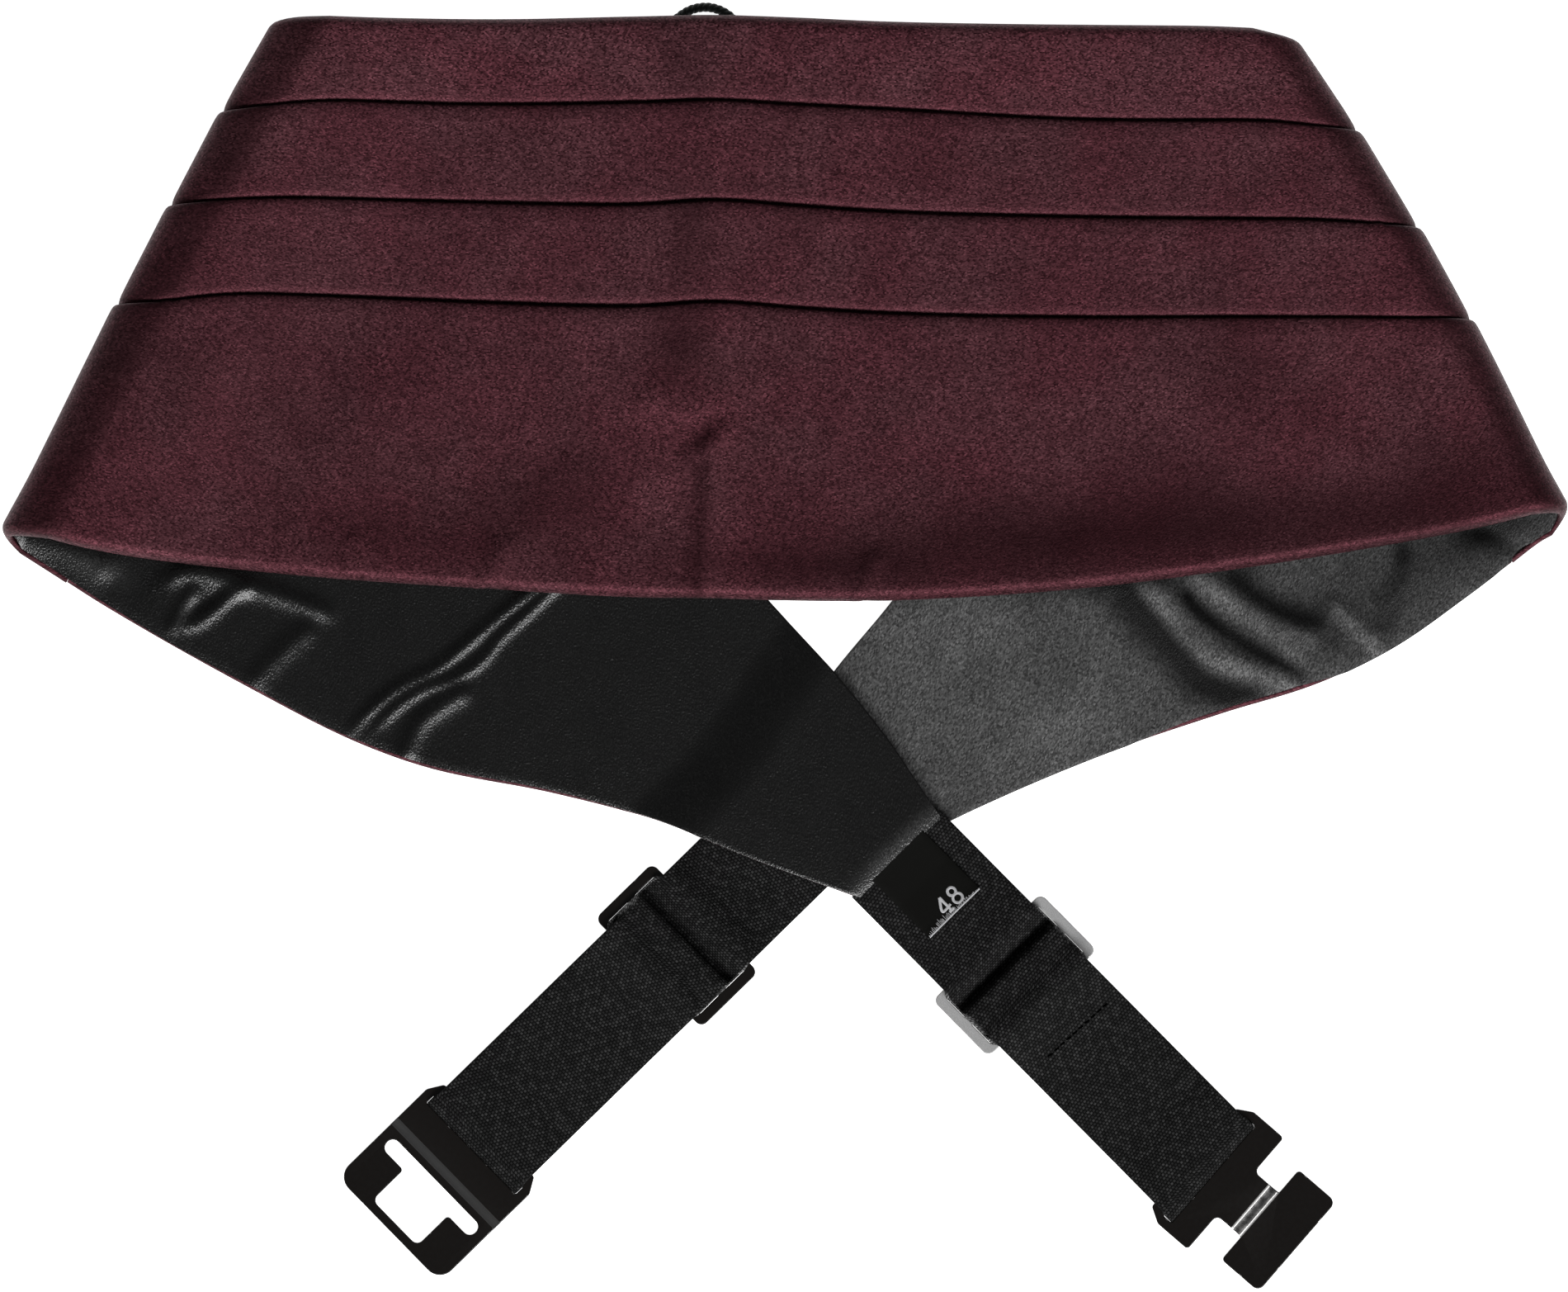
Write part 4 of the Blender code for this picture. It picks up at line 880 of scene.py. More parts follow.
def satin_finish(name, colour, float_length, roughness, specular, contrast, speck, tooth):
    """Fine satin: rows of short floats, each a little lighter or darker than the next, a few of them bright,
    and a slow drift of tone and hue.

    A float is a cell of the cloth, a whole number of lengths along and of widths across, each row shifted by
    two fifths of a length; its lightness is the white noise of the cell, softened by a fine noise. The whole
    is scaled by the tone attribute, which holds painted light and shade.
    """
    finish = Finish(name, roughness=roughness, specular_ior_level=specular,
                    specular_tint=tinted(colour, 1 / max(colour)))
    uv, u, v = finish.pattern()
    row = (v / (float_length * 0.68)).whole()
    lightness = finish.chance((u / float_length + row * 0.4).whole(), row)
    threads = finish.noise(uv, float_length, 1.0, 0.6).between(0.30, 0.70)
    weave = lightness * 0.85 + threads * 0.15
    specks = lightness.between(0.90, 0.98)
    clouds = finish.noise(uv, 0.010, 3.0, 0.6).between(0.30, 0.70)
    drift = finish.noise(uv, 0.022, 2.0, 0.5).between(0.35, 0.65)
    pale = [value + max(colour) * 0.12 for value in colour]
    shade = finish.mix(drift, colour, tinted(pale, 0.92))
    body = finish.scaled(shade, (1.0 - contrast) + weave * (2 * contrast) + specks * speck)
    # painted light and shade from the tone attribute, times random clouds of tone
    tone = finish.attribute(PAINTED_TONE) * (0.86 + clouds * 0.28)
    return finish.shade(base_color=finish.scaled(body, tone), roughness=roughness + 0.09 - weave * 0.18,
                        normal=finish.bump(threads, tooth, 0.5))


def elastic_finish(name, colour, rib):
    """Woven elastic: cross ribs along the band, each a row of beads of differing lightness, some bright.

    A bead is a cell of the band, a rib long and a little more wide, each row shifted by half a bead; its
    lightness is the white noise of the cell, and it rounds off as the product of two sines.
    """
    finish = Finish(name, roughness=0.8, specular_ior_level=0.03)
    uv, u, v = finish.pattern()
    run = u / rib + finish.noise(uv, 0.006, 1.0) * 0.12
    row = run.whole()
    bead = v / (rib * 1.15) + row * 0.5
    rounds = (run * math.pi).sine().size() * (bead * math.pi).sine().size()
    lightness = finish.chance(row, bead.whole())
    fuzz = finish.noise(uv, 0.00035, 2.0, 0.65).between(0.40, 0.62)
    tone = 0.05 + rounds * (1.8 + lightness * lightness * 4.2) + fuzz * 0.3
    # the tone attribute brings in the painted pale edge in the sliders
    return finish.shade(base_color=finish.scaled(colour, tone * finish.attribute(PAINTED_TONE)),
                        roughness=0.85 - fuzz * 0.15, normal=finish.bump(rounds + fuzz * 0.4, 0.00013, 0.8))


def cord_finish(name, colour, shine=0.35):
    """Spun black yarn: fine fibres lying along each strand."""
    finish = Finish(name, roughness=0.6, specular_ior_level=shine)
    _, u, v = finish.pattern()
    fibres = finish.noise(finish.point(u * 0.25, v), 0.00012, 2.0, 0.7)
    body = finish.mix(fibres.between(0.3, 0.75), tinted(colour, 0.4), tinted(colour, 3.0))
    return finish.shade(base_color=body, roughness=0.75 - fibres * 0.3,
                        normal=finish.bump(fibres, 0.00012, 0.7))


def ribbon_finish(name, colour):
    """Close black label satin with a faint weft line."""
    finish = Finish(name, roughness=0.6, specular_ior_level=0.05)
    uv, u, _ = finish.pattern()
    weft = finish.waves(u, 0.00025)
    dust = finish.noise(uv, 0.0006, 3.0, 0.7)
    body = finish.mix(weft * 0.4 + dust.between(0.3, 0.8) * 0.6, tinted(colour, 0.6), tinted(colour, 1.6))
    return finish.shade(base_color=body, roughness=0.60 - dust * 0.15,
                        normal=finish.bump(weft * 0.5 + dust * 0.5, 0.00003, 0.5))


def thread_finish(name, colour):
    """White woven thread, its turns as fine lines across."""
    finish = Finish(name, roughness=0.7, specular_ior_level=0.3)
    uv, u, _ = finish.pattern()
    turns = finish.waves(u, 0.00022)
    dust = finish.noise(uv, 0.0002, 2.0, 0.6)
    return finish.shade(base_color=finish.mix(turns * 0.6 + dust * 0.4, tinted(colour, 0.55), colour),
                        normal=finish.bump(turns + dust * 0.5, 0.00006, 0.8))


def paint_finish(name, colour, bare, bend=None):
    """Gloss black paint, worn to the bare metal in spots along its edges, and with a band at its bend whose
    brightness is painted.

    Wear is the edge attribute times a noise. A bend is a band between two distances along the plate in
    millimetres, the brightness of its two borders, of its darker and its lighter spots, and how metallic it
    is; where it is painted, it is dull. The band's brightness is painted light and shade: where it is worn
    bare (the hook plate), its borders are painted highlights and its spots a painted dim core; where the
    paint stays (the slot plate), it is a painted lighter band.
    """
    finish = Finish(name, specular_ior_level=0.45)
    uv, u, v = finish.pattern()
    metallic = finish.attribute(EDGE) * finish.noise(uv, 0.0016, 3.0, 0.6).between(0.60, 0.66)
    orange_peel = finish.noise(uv, 0.0009, 2.0, 0.5)
    scratches = finish.noise(finish.point(u * 0.15, v), 0.0005, 3.0, 0.7)
    body = finish.mix(metallic, colour, finish.mix(scratches, tinted(bare, 0.35), bare))
    dull = 0.0
    if bend:
        # painted light at the bend: on the hook plate painted highlights at its borders and a painted dim
        # core, on the slot plate a painted lighter band
        (start, end), border, dark, light, metal = bend
        start, end = start * MM, end * MM
        inside = u.between(start - 0.00012, start + 0.00002) * (1.0 - u.between(end - 0.00002, end + 0.00012))
        core = u.between(start + 0.0003, start + 0.0005) * (1.0 - u.between(end - 0.0005, end - 0.0003))
        mottle = finish.noise(uv, 0.0016, 3.0, 0.6).between(0.35, 0.7)
        spots = finish.mix(mottle, tinted(bare, dark), tinted(bare, light))
        body = finish.mix(inside, body, finish.mix(core, tinted(bare, border), spots))
        metallic = metallic + inside * metal
        dull = inside * (0.7 - 0.7 * metal)
    metallic = metallic.between(0.0, 1.0)
    return finish.shade(base_color=body, metallic=metallic,
                        roughness=orange_peel * 0.06 + metallic * 0.14 + dull + 0.20,
                        normal=finish.bump(orange_peel * 0.4 + scratches * 0.2 * metallic, 0.00004, 0.5))


def grey_finish(name, colour, bare):
    """Blasted grey metal: a fine sandy grain, shiny along its edges."""
    finish = Finish(name, specular_ior_level=0.5)
    uv, _, _ = finish.pattern()
    sand = finish.noise(uv, 0.00022, 2.0, 0.7)
    tone = sand.between(0.3, 0.7) * 0.7 + finish.noise(uv, 0.0024, 2.0, 0.5) * 0.3
    worn = finish.attribute(EDGE) * finish.noise(uv, 0.0030, 2.0, 0.5).between(0.40, 0.60)
    body = finish.mix(tone, tinted(colour, 0.72), tinted(colour, 1.3))
    return finish.shade(base_color=finish.mix(worn, body, bare), metallic=0.25 + worn * 0.6,
                        roughness=0.50 - worn * 0.22, normal=finish.bump(sand, 0.00005, 0.5))


def floor_finish(name, colour, glow):
    """Matte pale paper with a barely seen tooth, lit a little from behind."""
    finish = Finish(name, roughness=0.9, specular_ior_level=0.1, emission_color=(1.0, 1.0, 1.0),
                    emission_strength=glow)
    tooth = finish.noise(finish.node("ShaderNodeTexCoord", output="Object"), 0.0012, 3.0, 0.6)
    return finish.shade(base_color=finish.mix(tooth, tinted(colour, 0.985), tinted(colour, 1.015)),
                        normal=finish.bump(tooth, 0.00004, 0.1))


# ---------------------------------------------------------------- the satin
def front_rings(step):
    """Places of the front's rings: from one side seam round its fold, across, and round the other to its
    seam."""
    turn = np.linspace(0, 1, 19)
    under = np.linspace(0, SIDE_SEAM, 9)[1:]
    across = np.linspace(0, 1, int(FRONT_RUN / step))[1:-1]
    return np.concatenate([LEFT_UNDER - under[::-1], LEFT_UNDER + turn, LEFT_OVER + across,
                           RIGHT_OVER + turn, RIGHT_UNDER + under])


def roll(places, index, outer, lifted, back=0.0):
    """Lines and depths of a rolled edge, from the outer side inward; outer is the outer side's depth at its
    start, eased out to nothing at the very edge, and back is how far the edge stands back."""
    sign = 1 if index == 0 else -1
    inwards, depth = np.array(ROLL_SECTION).T
    lines = np.stack([lines_at(places, index, sign * max(at + back, 1e-4)) for at in inwards], axis=1)
    share = np.where(np.arange(len(depth)) < ROLL_OUTER_ROWS, 1 - depth / SHELL_INSIDE, 0.0)
    return lines, depth + outer * share * lifted[:, None]


def satin_front(step, finish):
    """The pleated front as a closed shell: for each place along it, its section runs over the top edge's
    roll, down the outer side with a tucked groove at each pleat, round the hem's roll and back up the inner
    side. Its stretches are (lines, depths, tones), the tones being painted shade at the pleats."""
    places = front_rings(step)
    under = np.minimum(places - LEFT_UNDER, RIGHT_UNDER - places)
    lifted = ease((under - 0.05) / 0.4)
    middle = skin(places, np.full(len(places), 2.0))[:, 0]
    gapes = np.array(PLEAT_GAPES)
    # dark is the pleats' painted shade
    below, closed, gaping, flat, dark = np.array(PLEAT_SECTION).T
    lines, depths = roll(places, 0, TIER_LEVELS[0][0][1], lifted)
    stretches = [(lines[:, ::-1], depths[:, ::-1], np.ones(lines.shape[1]))]
    start = ROLL_SECTION[0][0]
    for tier, height in enumerate(TIER_HEIGHTS):
        if tier:
            lines = np.stack([lines_at(places, tier, at) for at in below], axis=1)
            gape = np.interp(middle, gapes[:, 0], gapes[:, tier])[:, None]
            stretches.append((lines, flat + (closed + gape * gaping - flat) * lifted[:, None], dark))
            start = below[-1]
        end = -below[0] if tier < 3 else ROLL_SECTION[0][0]
        share = np.linspace(0, 1, int((height - start - end) / step) + 2)[1:-1]
        stretches.append((lines_between(places, (tier, start), (tier + 1, -end), share),
                          smooth(*zip(*TIER_LEVELS[tier]), share) * lifted[:, None], np.ones(len(share))))
    lines, depths = roll(places, 4, TIER_LEVELS[3][-1][1], lifted)
    stretches.append((lines, depths, np.ones(lines.shape[1])))
    lines = lines_between(places, (4, -ROLL_REACH), (0, ROLL_REACH), np.linspace(0, 1, 24))
    stretches.append((lines, np.full(lines.shape, SHELL_INSIDE), np.ones(24)))
    line, depth, darkness = (np.concatenate(kind, axis=-1) for kind in zip(*stretches))
    line = np.clip(line, 0, 4)
    rings = under_skin(places, line, depth)
    # painted highlights and shade: the front's ovals and the pleats' grooves
    tone = toned(FRONT_PAINTED_LIGHT_AND_SHADE, rings[..., 0], rings[..., 1]) * darkness
    # painted shade along each side fold, where the satin turns from the light
    for side in SIDES:
        edge = fold_turn(side, line, np.zeros(line.shape))
        off = (edge[..., :2] - rings[..., :2]) @ fold_axes(side)[1]
        tone *= 1 + (np.interp(off, *zip(*FOLD_PAINTED_SHADE[side])) - 1) * ease((under + 0.02) / 0.02)[:, None]
    return ring_mesh("satin_front", rings, finish, tone)


def wing_shell(side, step, finish):
    """A wing's outer cloth as a closed shell, flat where it lies on the table, both long edges rolled: its
    section runs over the top edge's roll, down the outer side, round the hem's roll and back up the inner
    side."""
    reach = np.linspace(SIDE_SEAM + SIDE_SEAM_GAP / 4, WING_END, int(WING_RUN / (1.5 * step)))
    places = LEFT_UNDER - reach[::-1] if side == "left" else RIGHT_UNDER + reach
    flat = np.zeros(len(places))
    top_lines, top_depths = roll(places, 0, 0.0, flat, WING_BACK[0])
    hem_lines, hem_depths = roll(places, 4, 0.0, flat, WING_BACK[1])
    outer = lines_between(places, (0, WING_LEVEL[0]), (4, -WING_LEVEL[1]), np.linspace(0, 1, 40)[1:-1])
    line = np.concatenate([top_lines[:, ::-1], outer, hem_lines, outer[:, ::-1]], axis=1)
    depth = np.concatenate([top_depths[:, ::-1], np.zeros(outer.shape), hem_depths,
                            np.full(outer.shape, SHELL_INSIDE)], axis=1)
    rings = under_skin(places, np.clip(line, 0, 4), depth)
    rings[..., 2] = np.maximum(rings[..., 2], 0.0)
    return ring_mesh(side + "_wing_satin", rings, finish)


# ---------------------------------------------------------------- the linings
def lining_rings(name, places, top_cover, cover, creases, step, finish, end_roll=0.0, tones=(), shades=()):
    """A lining as a closed thin shell: its section runs along its inner, shown side and back under it.

    Top cover and cover are how far in from the top edge and from the hem it starts. Its rim is rounded as a
    parabola, and so is its fall by end_roll towards a wing's end. Creases lift both sides alike; tones and
    shades are painted highlights and shade in its tone attribute.
    """
    top = lines_at(places, 0, top_cover)[:, None]
    edge = 4 - cover[:, None] * (4 - lines_at(places, 4, -1.0)[:, None])
    share = np.linspace(0, 1, int(LINING_HEIGHT / step))
    lines = top + (edge - top) * share
    rim = np.minimum(share, 1 - share) * LINING_HEIGHT
    bottom = LINING_BOTTOM - np.clip(1 - rim / RIM_WIDTH, 0, 1) ** 2 * RIM_DROP
    upper = bottom - LINING_THICKNESS + np.clip(1 - rim / RIM_TAPER_WIDTH, 0, 1) * RIM_TAPER
    line = np.concatenate([lines, lines[:, ::-1]], axis=1)
    depth = np.concatenate([bottom, np.maximum(LINING_TOP, upper)[::-1]]) - np.reshape(end_roll, (-1, 1))
    base = skin(np.broadcast_to(places[:, None], line.shape), line)
    low = base[..., 2] < CROSSING_LIFT + 0.5
    lift = np.where(low, relief(creases, base[..., 0], base[..., 1]), 0.0)
    rings = under_skin(places, line, depth + lift)
    x, y = rings[..., 0], rings[..., 1]
    # painted highlights and shade from the lining's tones and shades
    return ring_mesh(name, rings, finish, toned(tones, x, y) * np.maximum(1 + relief(shades, x, y), 0.1))


def wing_lining(side, creases, tones, shades, step, finish):
    """A wing's lining, round the side fold and up to its seam behind the front."""
    reach = np.linspace(0, 1, int(WING_RUN / step))[1:]
    turn = np.linspace(0, 1, 13)
    up_front = np.linspace(0, LINING_SEAM, 10)[1:]
    places = np.concatenate([LEFT_UNDER - reach[::-1], LEFT_UNDER + turn, LEFT_OVER + up_front])
    fold = LEFT_UNDER + 0.5
    if side == "right":
        places = RIGHT_END - places[::-1]
        fold = RIGHT_END - fold
    run = lengths(skin(places, np.full(len(places), 4.0)))
    past_fold = (run - np.interp(fold, places, run)) * (1 if side == "right" else -1)
    middle = lengths(skin(places, np.full(len(places), 2.5)))
    from_end = middle if side == "left" else middle[-1] - middle
    end_roll = END_ROLL_DROP * np.clip(1 - from_end / END_ROLL_WIDTH, 0, 1) ** 2
    cover = np.interp(past_fold, *zip(*LINING_COVER[side]))
    return lining_rings(side + "_wing_lining_cloth", places, WING_LINING_TOP, cover, creases, step, finish,
                        end_roll, tones, shades)


def front_lining(step, finish):
    """The lining behind the front, between its two seams."""
    start = LINING_SEAM + LINING_SEAM_GAP
    places = LEFT_OVER + np.linspace(start, 1 - start, int(FRONT_RUN / (2 * step)))
    return lining_rings("front_lining_cloth", places, FRONT_LINING_IN,
                        np.full(len(places), FRONT_LINING_IN), (), 2 * step, finish)


# ---------------------------------------------------------------- the elastics
def arc(centre, radius, start, end, steps):
    """Points of an arc in the plane of run and height, angles in degrees."""
    angles = np.radians(np.linspace(start, end, steps))
    return [(centre[0] + radius * math.cos(a), centre[1] + radius * math.sin(a)) for a in angles]


def elastic_path(side):
    """The elastic's middle line as (run, height): out to the end plate on the table, back over itself."""
    groove = side["groove"]
    turn = METAL / 2 + ELASTIC_CLEAR
    bar = (groove + SLIDER_BARS[1][0] + 0.35, SLIDER_Z + METAL / 2)
    wrap = turn + 0.1
    return np.array([
        *side["approach"],
        *[(groove + past, height) for past, height in THROUGH_SLIDER],
        *[(ELASTIC_LENGTH - before, height) for before, height in TO_PLATE],
        *arc((ELASTIC_LENGTH + 0.02 - turn, PLATE_Z + METAL / 2), turn, -90, 90, 9),
        *[(ELASTIC_LENGTH - before, height) for before, height in FROM_PLATE],
        *[(groove + past, height) for past, height in BACK_TO_SLIDER],
        *arc(bar, wrap, 90, 270, 9),
        (bar[0] + 1.3, bar[1] - wrap),
    ])


def place_on(side, run, across, height):
    """Table coordinates of a point given along an elastic, across it and above the table."""
    heading = math.radians(side["heading"])
    run = run + side["skew"] * across * ease((run - SKEW_FROM) / (SKEW_TO - SKEW_FROM))
    x = side["start"][0] + run * math.cos(heading) - across * math.sin(heading)
    y = side["start"][1] + run * math.sin(heading) + across * math.cos(heading)
    return np.stack([x, y, np.broadcast_to(height, x.shape)], axis=-1)


def band_profile(width, thickness):
    """A flat band's section, from above and round: level faces with half-round edges a little thicker than
    the middle, as (across, out)."""
    half = thickness / 2
    turn = np.radians(np.linspace(90, -90, 9))
    edge = np.stack([width / 2 - half + half * np.cos(turn), half * np.sin(turn)], axis=1)
    level = np.linspace(-1, 1, 12)[1:-1]
    over = np.stack([level * (width / 2 - half), half * (1.0 - 0.06 * (1 - level**8))], axis=1)
    return np.concatenate([over, edge, over[::-1] * (1, -1), edge[::-1] * (-1, 1)])


def band(name, side, path, width, thickness, step, finish, pressed=()):
    """A flat band: its section carried along a smooth curve through the path, square to it in the plane of
    run and height.

    Each row of pressed is a stretch of the run, a height below which the band is squeezed wider there, and
    how much wider, further across and paler at its edges it gets; that paler edge is painted, a stand-in for
    the shaded floor seen through a slider's slot.
    """
    curve = evenly(path, step)
    slope = unit(np.gradient(curve, axis=0))
    across, out = band_profile(width, thickness).T[:, None]
    run = curve[:, :1] - slope[:, 1:] * out
    height = curve[:, 1:] + slope[:, :1] * out
    shifted = np.broadcast_to(across, run.shape)
    tone = np.ones(run.shape)
    for start, end, top, wider, shift, painted_slit in pressed:
        share = ease((run - start) / 1.2) * ease((end - run) / 1.2) * ease((top - height) / 0.6)
        shifted = shifted + (across * wider + shift) * share
        # painted pale edge in a slider, a stand-in for the shaded floor seen through its slot
        tone = tone + share * np.where(np.abs(across) > width / 2 - 0.3, painted_slit, 0.0)
    return ring_mesh(name, place_on(side, run, shifted, height), finish, tone)


def strap_stitches(finish):
    """A row of short stitches across the hook-side elastic, half sunk in its upper face: each a round thread
    along a straight line, at the height of the elastic's highest layer there."""
    parts = []
    curve = evenly(elastic_path(HOOK_SIDE), 0.1)
    for across in np.arange(*STITCH_ROW, STITCH_PITCH):
        run = STITCH_RUN + across * STITCH_SLANT
        over = curve[np.abs(curve[:, 0] - run) < 0.15, 1].max() + ELASTIC / 2
        share = np.linspace(0, 1, 6)
        points = place_on(HOOK_SIDE, run + share * 0.2, across + share * STITCH_LENGTH, over)
        parts.append(swept("stitch", points, circle(STITCH_RADIUS, 6), finish))
    return joined("strap_stitches", parts)


# ---------------------------------------------------------------- the label
def label_floor(run):
    """Height of the label's underside, a little over the elastic."""
    return np.interp(run, *zip(*HOOK_SIDE["approach"])) + ELASTIC / 2 + 0.1


def stroke(points, width, finish):
    """A flat raised stitch along a line on the label: its section an ellipse, carried along a smooth
    curve."""
    run, across = (evenly(points, 0.18) if len(points) > 2 else along(points, np.linspace(0, 1, 8))).T
    middle = place_on(HOOK_SIDE, run, across, label_floor(run) + LABEL + 0.03)
    return swept("stitch", middle, circle(1.0, 8) * (width / 2, 0.09), finish)


def figure_8():
    """The strokes of an 8: two ellipses, one on the other, as (across, up) in heights of a figure."""
    turn = np.radians(np.linspace(0, 360, 15))
    return [np.stack([FIGURE_8_MIDDLE + half_width * np.sin(turn), middle - half_height * np.cos(turn)],
                     axis=1)
            for middle, half_width, half_height in FIGURE_8_RINGS]


def label_figures(finish):
    """The size number, its tops towards the wing."""
    parts = []
    for place, strokes in zip(DIGIT_PLACES, (FIGURE_4, figure_8())):
        for points in strokes:
            across, up = np.transpose(points) * DIGIT_HEIGHT
            on_band = np.stack([DIGIT_BASE - up, place + across], axis=1)
            parts.append(stroke(on_band, DIGIT_STROKE, finish))
    return joined("label_figures", parts)


def label_fringe(finish):
    """The label's cut end: a white line with warp ends standing back from it, longest under the figures."""
    random = np.random.default_rng(48)
    cut = LABEL_REACH[1]
    parts = [stroke(((cut - 0.12, -7.0), (cut - 0.16, 0.0), (cut - 0.08, 7.05)), 0.34, finish)]
    across = np.linspace(-6.9, 7.0, FRINGE_COUNT) + random.uniform(-0.07, 0.07, FRINGE_COUNT)
    length = np.interp(across, *zip(*FRINGE_LENGTHS)) * random.uniform(0.35, 1.0, FRINGE_COUNT)
    for at, reach, lean in zip(across, length, random.uniform(-0.16, 0.16, FRINGE_COUNT)):
        parts.append(stroke(((cut - 0.1, at), (cut - 0.1 - reach, at + lean)), 0.11, finish))
    return joined("label_fringe", parts)


# ---------------------------------------------------------------- the metal
def rounded(corners):
    """An outline with its corners cut round, each corner an (along, across, radius): the rational quadratic
    curve that is an arc when its middle point weighs the sine of half the corner's angle."""
    outline = []
    for index, (x, y, radius) in enumerate(corners):
        here = np.array([x, y])
        before = unit(np.array(corners[index - 1][:2]) - here)
        after = unit(np.array(corners[(index + 1) % len(corners)][:2]) - here)
        half = math.acos(before @ after) / 2
        start, end = here + before * radius / math.tan(half), here + after * radius / math.tan(half)
        for t in np.linspace(0, 1, 9):
            weights = np.array([(1 - t) ** 2, 2 * t * (1 - t) * math.sin(half), t**2])
            outline.append(weights @ np.array([start, here, end]) / weights.sum())
    return outline


def both_sides(right):
    """A closed run of corners, mirrored across the middle line."""
    return rounded([*right, *[(x, -y, radius) for x, y, radius in reversed(right)]])


def box_outline(x0, x1, width, radius):
    """A rectangle with rounded corners, centred across."""
    half = width / 2
    return rounded([(x0, -half, radius), (x1, -half, radius), (x1, half, radius), (x0, half, radius)])


def flat_plate(name, outlines, edge):
    """A mesh of outlines filled and thickened, with rounded edges."""
    curve = bpy.data.curves.new(name + "_outline", "CURVE")
    curve.dimensions = "2D"
    curve.fill_mode = "BOTH"
    curve.extrude = METAL / 2 - edge
    curve.bevel_depth = edge
    curve.bevel_resolution = 2
    curve.offset = -edge
    for outline in outlines:
        spline = curve.splines.new("POLY")
        spline.points.add(len(outline) - 1)
        spline.points.foreach_set("co", np.array([(p[0], p[1], 0, 1) for p in outline]).ravel())
        spline.use_cyclic_u = True
    flat = bpy.data.objects.new(name + "_flat", curve)
    data = bpy.data.meshes.new_from_object(flat)
    bpy.data.objects.remove(flat)
    bpy.data.curves.remove(curve)
    data.name = name
    data.materials.clear()
    while data.uv_layers:
        data.uv_layers.remove(data.uv_layers[0])
    return data


def plate(name, origin, heading, outlines, underside, edge, finish, step=None):
    """A sheet metal piece: a flat plate, eased down to the table between two lines where it has a step.

    Its UV is the distance along it and across it, and its edge attribute is 1 on the rounded edges.
    """
    data = flat_plate(name, outlines, edge)
    mesh = bmesh.new()
    mesh.from_mesh(data)
    bmesh.ops.remove_doubles(mesh, verts=mesh.verts[:], dist=0.002)
    if step:
        for at in np.linspace(*step, 9):
            bmesh.ops.bisect_plane(mesh, geom=mesh.verts[:] + mesh.edges[:] + mesh.faces[:], dist=0.0005,
                                   plane_co=(at, 0, 0), plane_no=(1, 0, 0))
    bmesh.ops.recalc_face_normals(mesh, faces=mesh.faces[:])
    mesh.to_mesh(data)
    mesh.free()
    local = np.zeros(len(data.vertices) * 3)
    data.vertices.foreach_get("co", local)
    x, y, z = local.reshape(-1, 3).T
    data.shade_smooth()
    data.set_sharp_from_angle(angle=math.radians(12.0))
    rounding = np.where(np.abs(z) < METAL / 2 - 0.01, 1.0, 0.0)
    data.attributes.new(EDGE, "FLOAT", "POINT").data.foreach_set("value", rounding)
    corner = np.zeros(len(data.loops), np.int32)
    data.loops.foreach_get("vertex_index", corner)
    uv = np.stack([x[corner], y[corner]], axis=1) * MM
    data.uv_layers.new(name=PATTERN).data.foreach_set("uv", uv.ravel())
    height = z + underside + METAL / 2
    if step:
        height = height - underside * ease((x - step[0]) / (step[1] - step[0]))
    cosine, sine = math.cos(math.radians(heading)), math.sin(math.radians(heading))
    placed = np.stack([origin[0] + x * cosine - y * sine - ORIGIN[0],
                       origin[1] + x * sine + y * cosine - ORIGIN[1], height], axis=1) * MM
    data.vertices.foreach_set("co", placed.ravel())
    return shown(name, data, finish)


def slider(name, side, edge, finish):
    """A three-bar slider, its bars across the elastic."""
    first, middle, last = ([side["groove"] + at for at in bar] for bar in SLIDER_BARS)
    outlines = [box_outline(first[0], last[1], SLIDER_WIDTH, 1.6),
                box_outline(first[1], middle[0], SLIDER_SLOT, 0.5),
                box_outline(middle[1], last[0], SLIDER_SLOT, 0.5)]
    origin = place_on(side, np.array(0.0), np.array(side["slider_shift"]), 0.0)
    return plate(name, origin, side["heading"], outlines, SLIDER_Z, edge, finish)


def end_plate(name, side, heading, tail, openings, step, edge, finish):
    """A plate at an elastic's end: its bar and slot for the elastic, its own tail and openings, one step
    lower."""
    outline = both_sides([*PLATE_BASE, *tail])
    slot = box_outline(PLATE_BAR[1], PLATE_SLOT_END, PLATE_SLOT, 0.4)
    origin = place_on(side, np.array(ELASTIC_LENGTH), np.array(0.0), 0.0)
    return plate(name, origin, heading, [outline, slot, *map(both_sides, openings)], PLATE_Z, edge, finish,
                 step)


# ---------------------------------------------------------------- the button loop
def twisted_loop(finish):
    """Three strands wound round the loop's route: each strand's middle is the route plus a circle about it
    that turns once in every pitch."""
    route = evenly([(*point, LOOP_Z) for point in LOOP_ROUTE], 0.22)
    run = lengths(route)
    step = unit(np.gradient(route, axis=0))
    level = unit(np.cross(step, (0.0, 0.0, 1.0)))
    other = np.cross(level, step)
    strands = []
    for share in (0, 1 / 3, 2 / 3):
        turn = (2 * math.pi * (run / LOOP_PITCH + share))[:, None]
        middle = route + LOOP_TWIST * (level * np.cos(turn) + other * np.sin(turn))
        strands.append(swept("strand", middle, circle(LOOP_STRAND, 10), finish))
    return joined("twisted_button_loop", strands)


# ---------------------------------------------------------------- operators
def settle(piece, slot, *nodes):
    """The piece rides on the garment and stands for its solids, which it hides; the slot it is given is not
    used.
    """
    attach(piece, "root")
    if nodes:
        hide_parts(*nodes)
    return piece


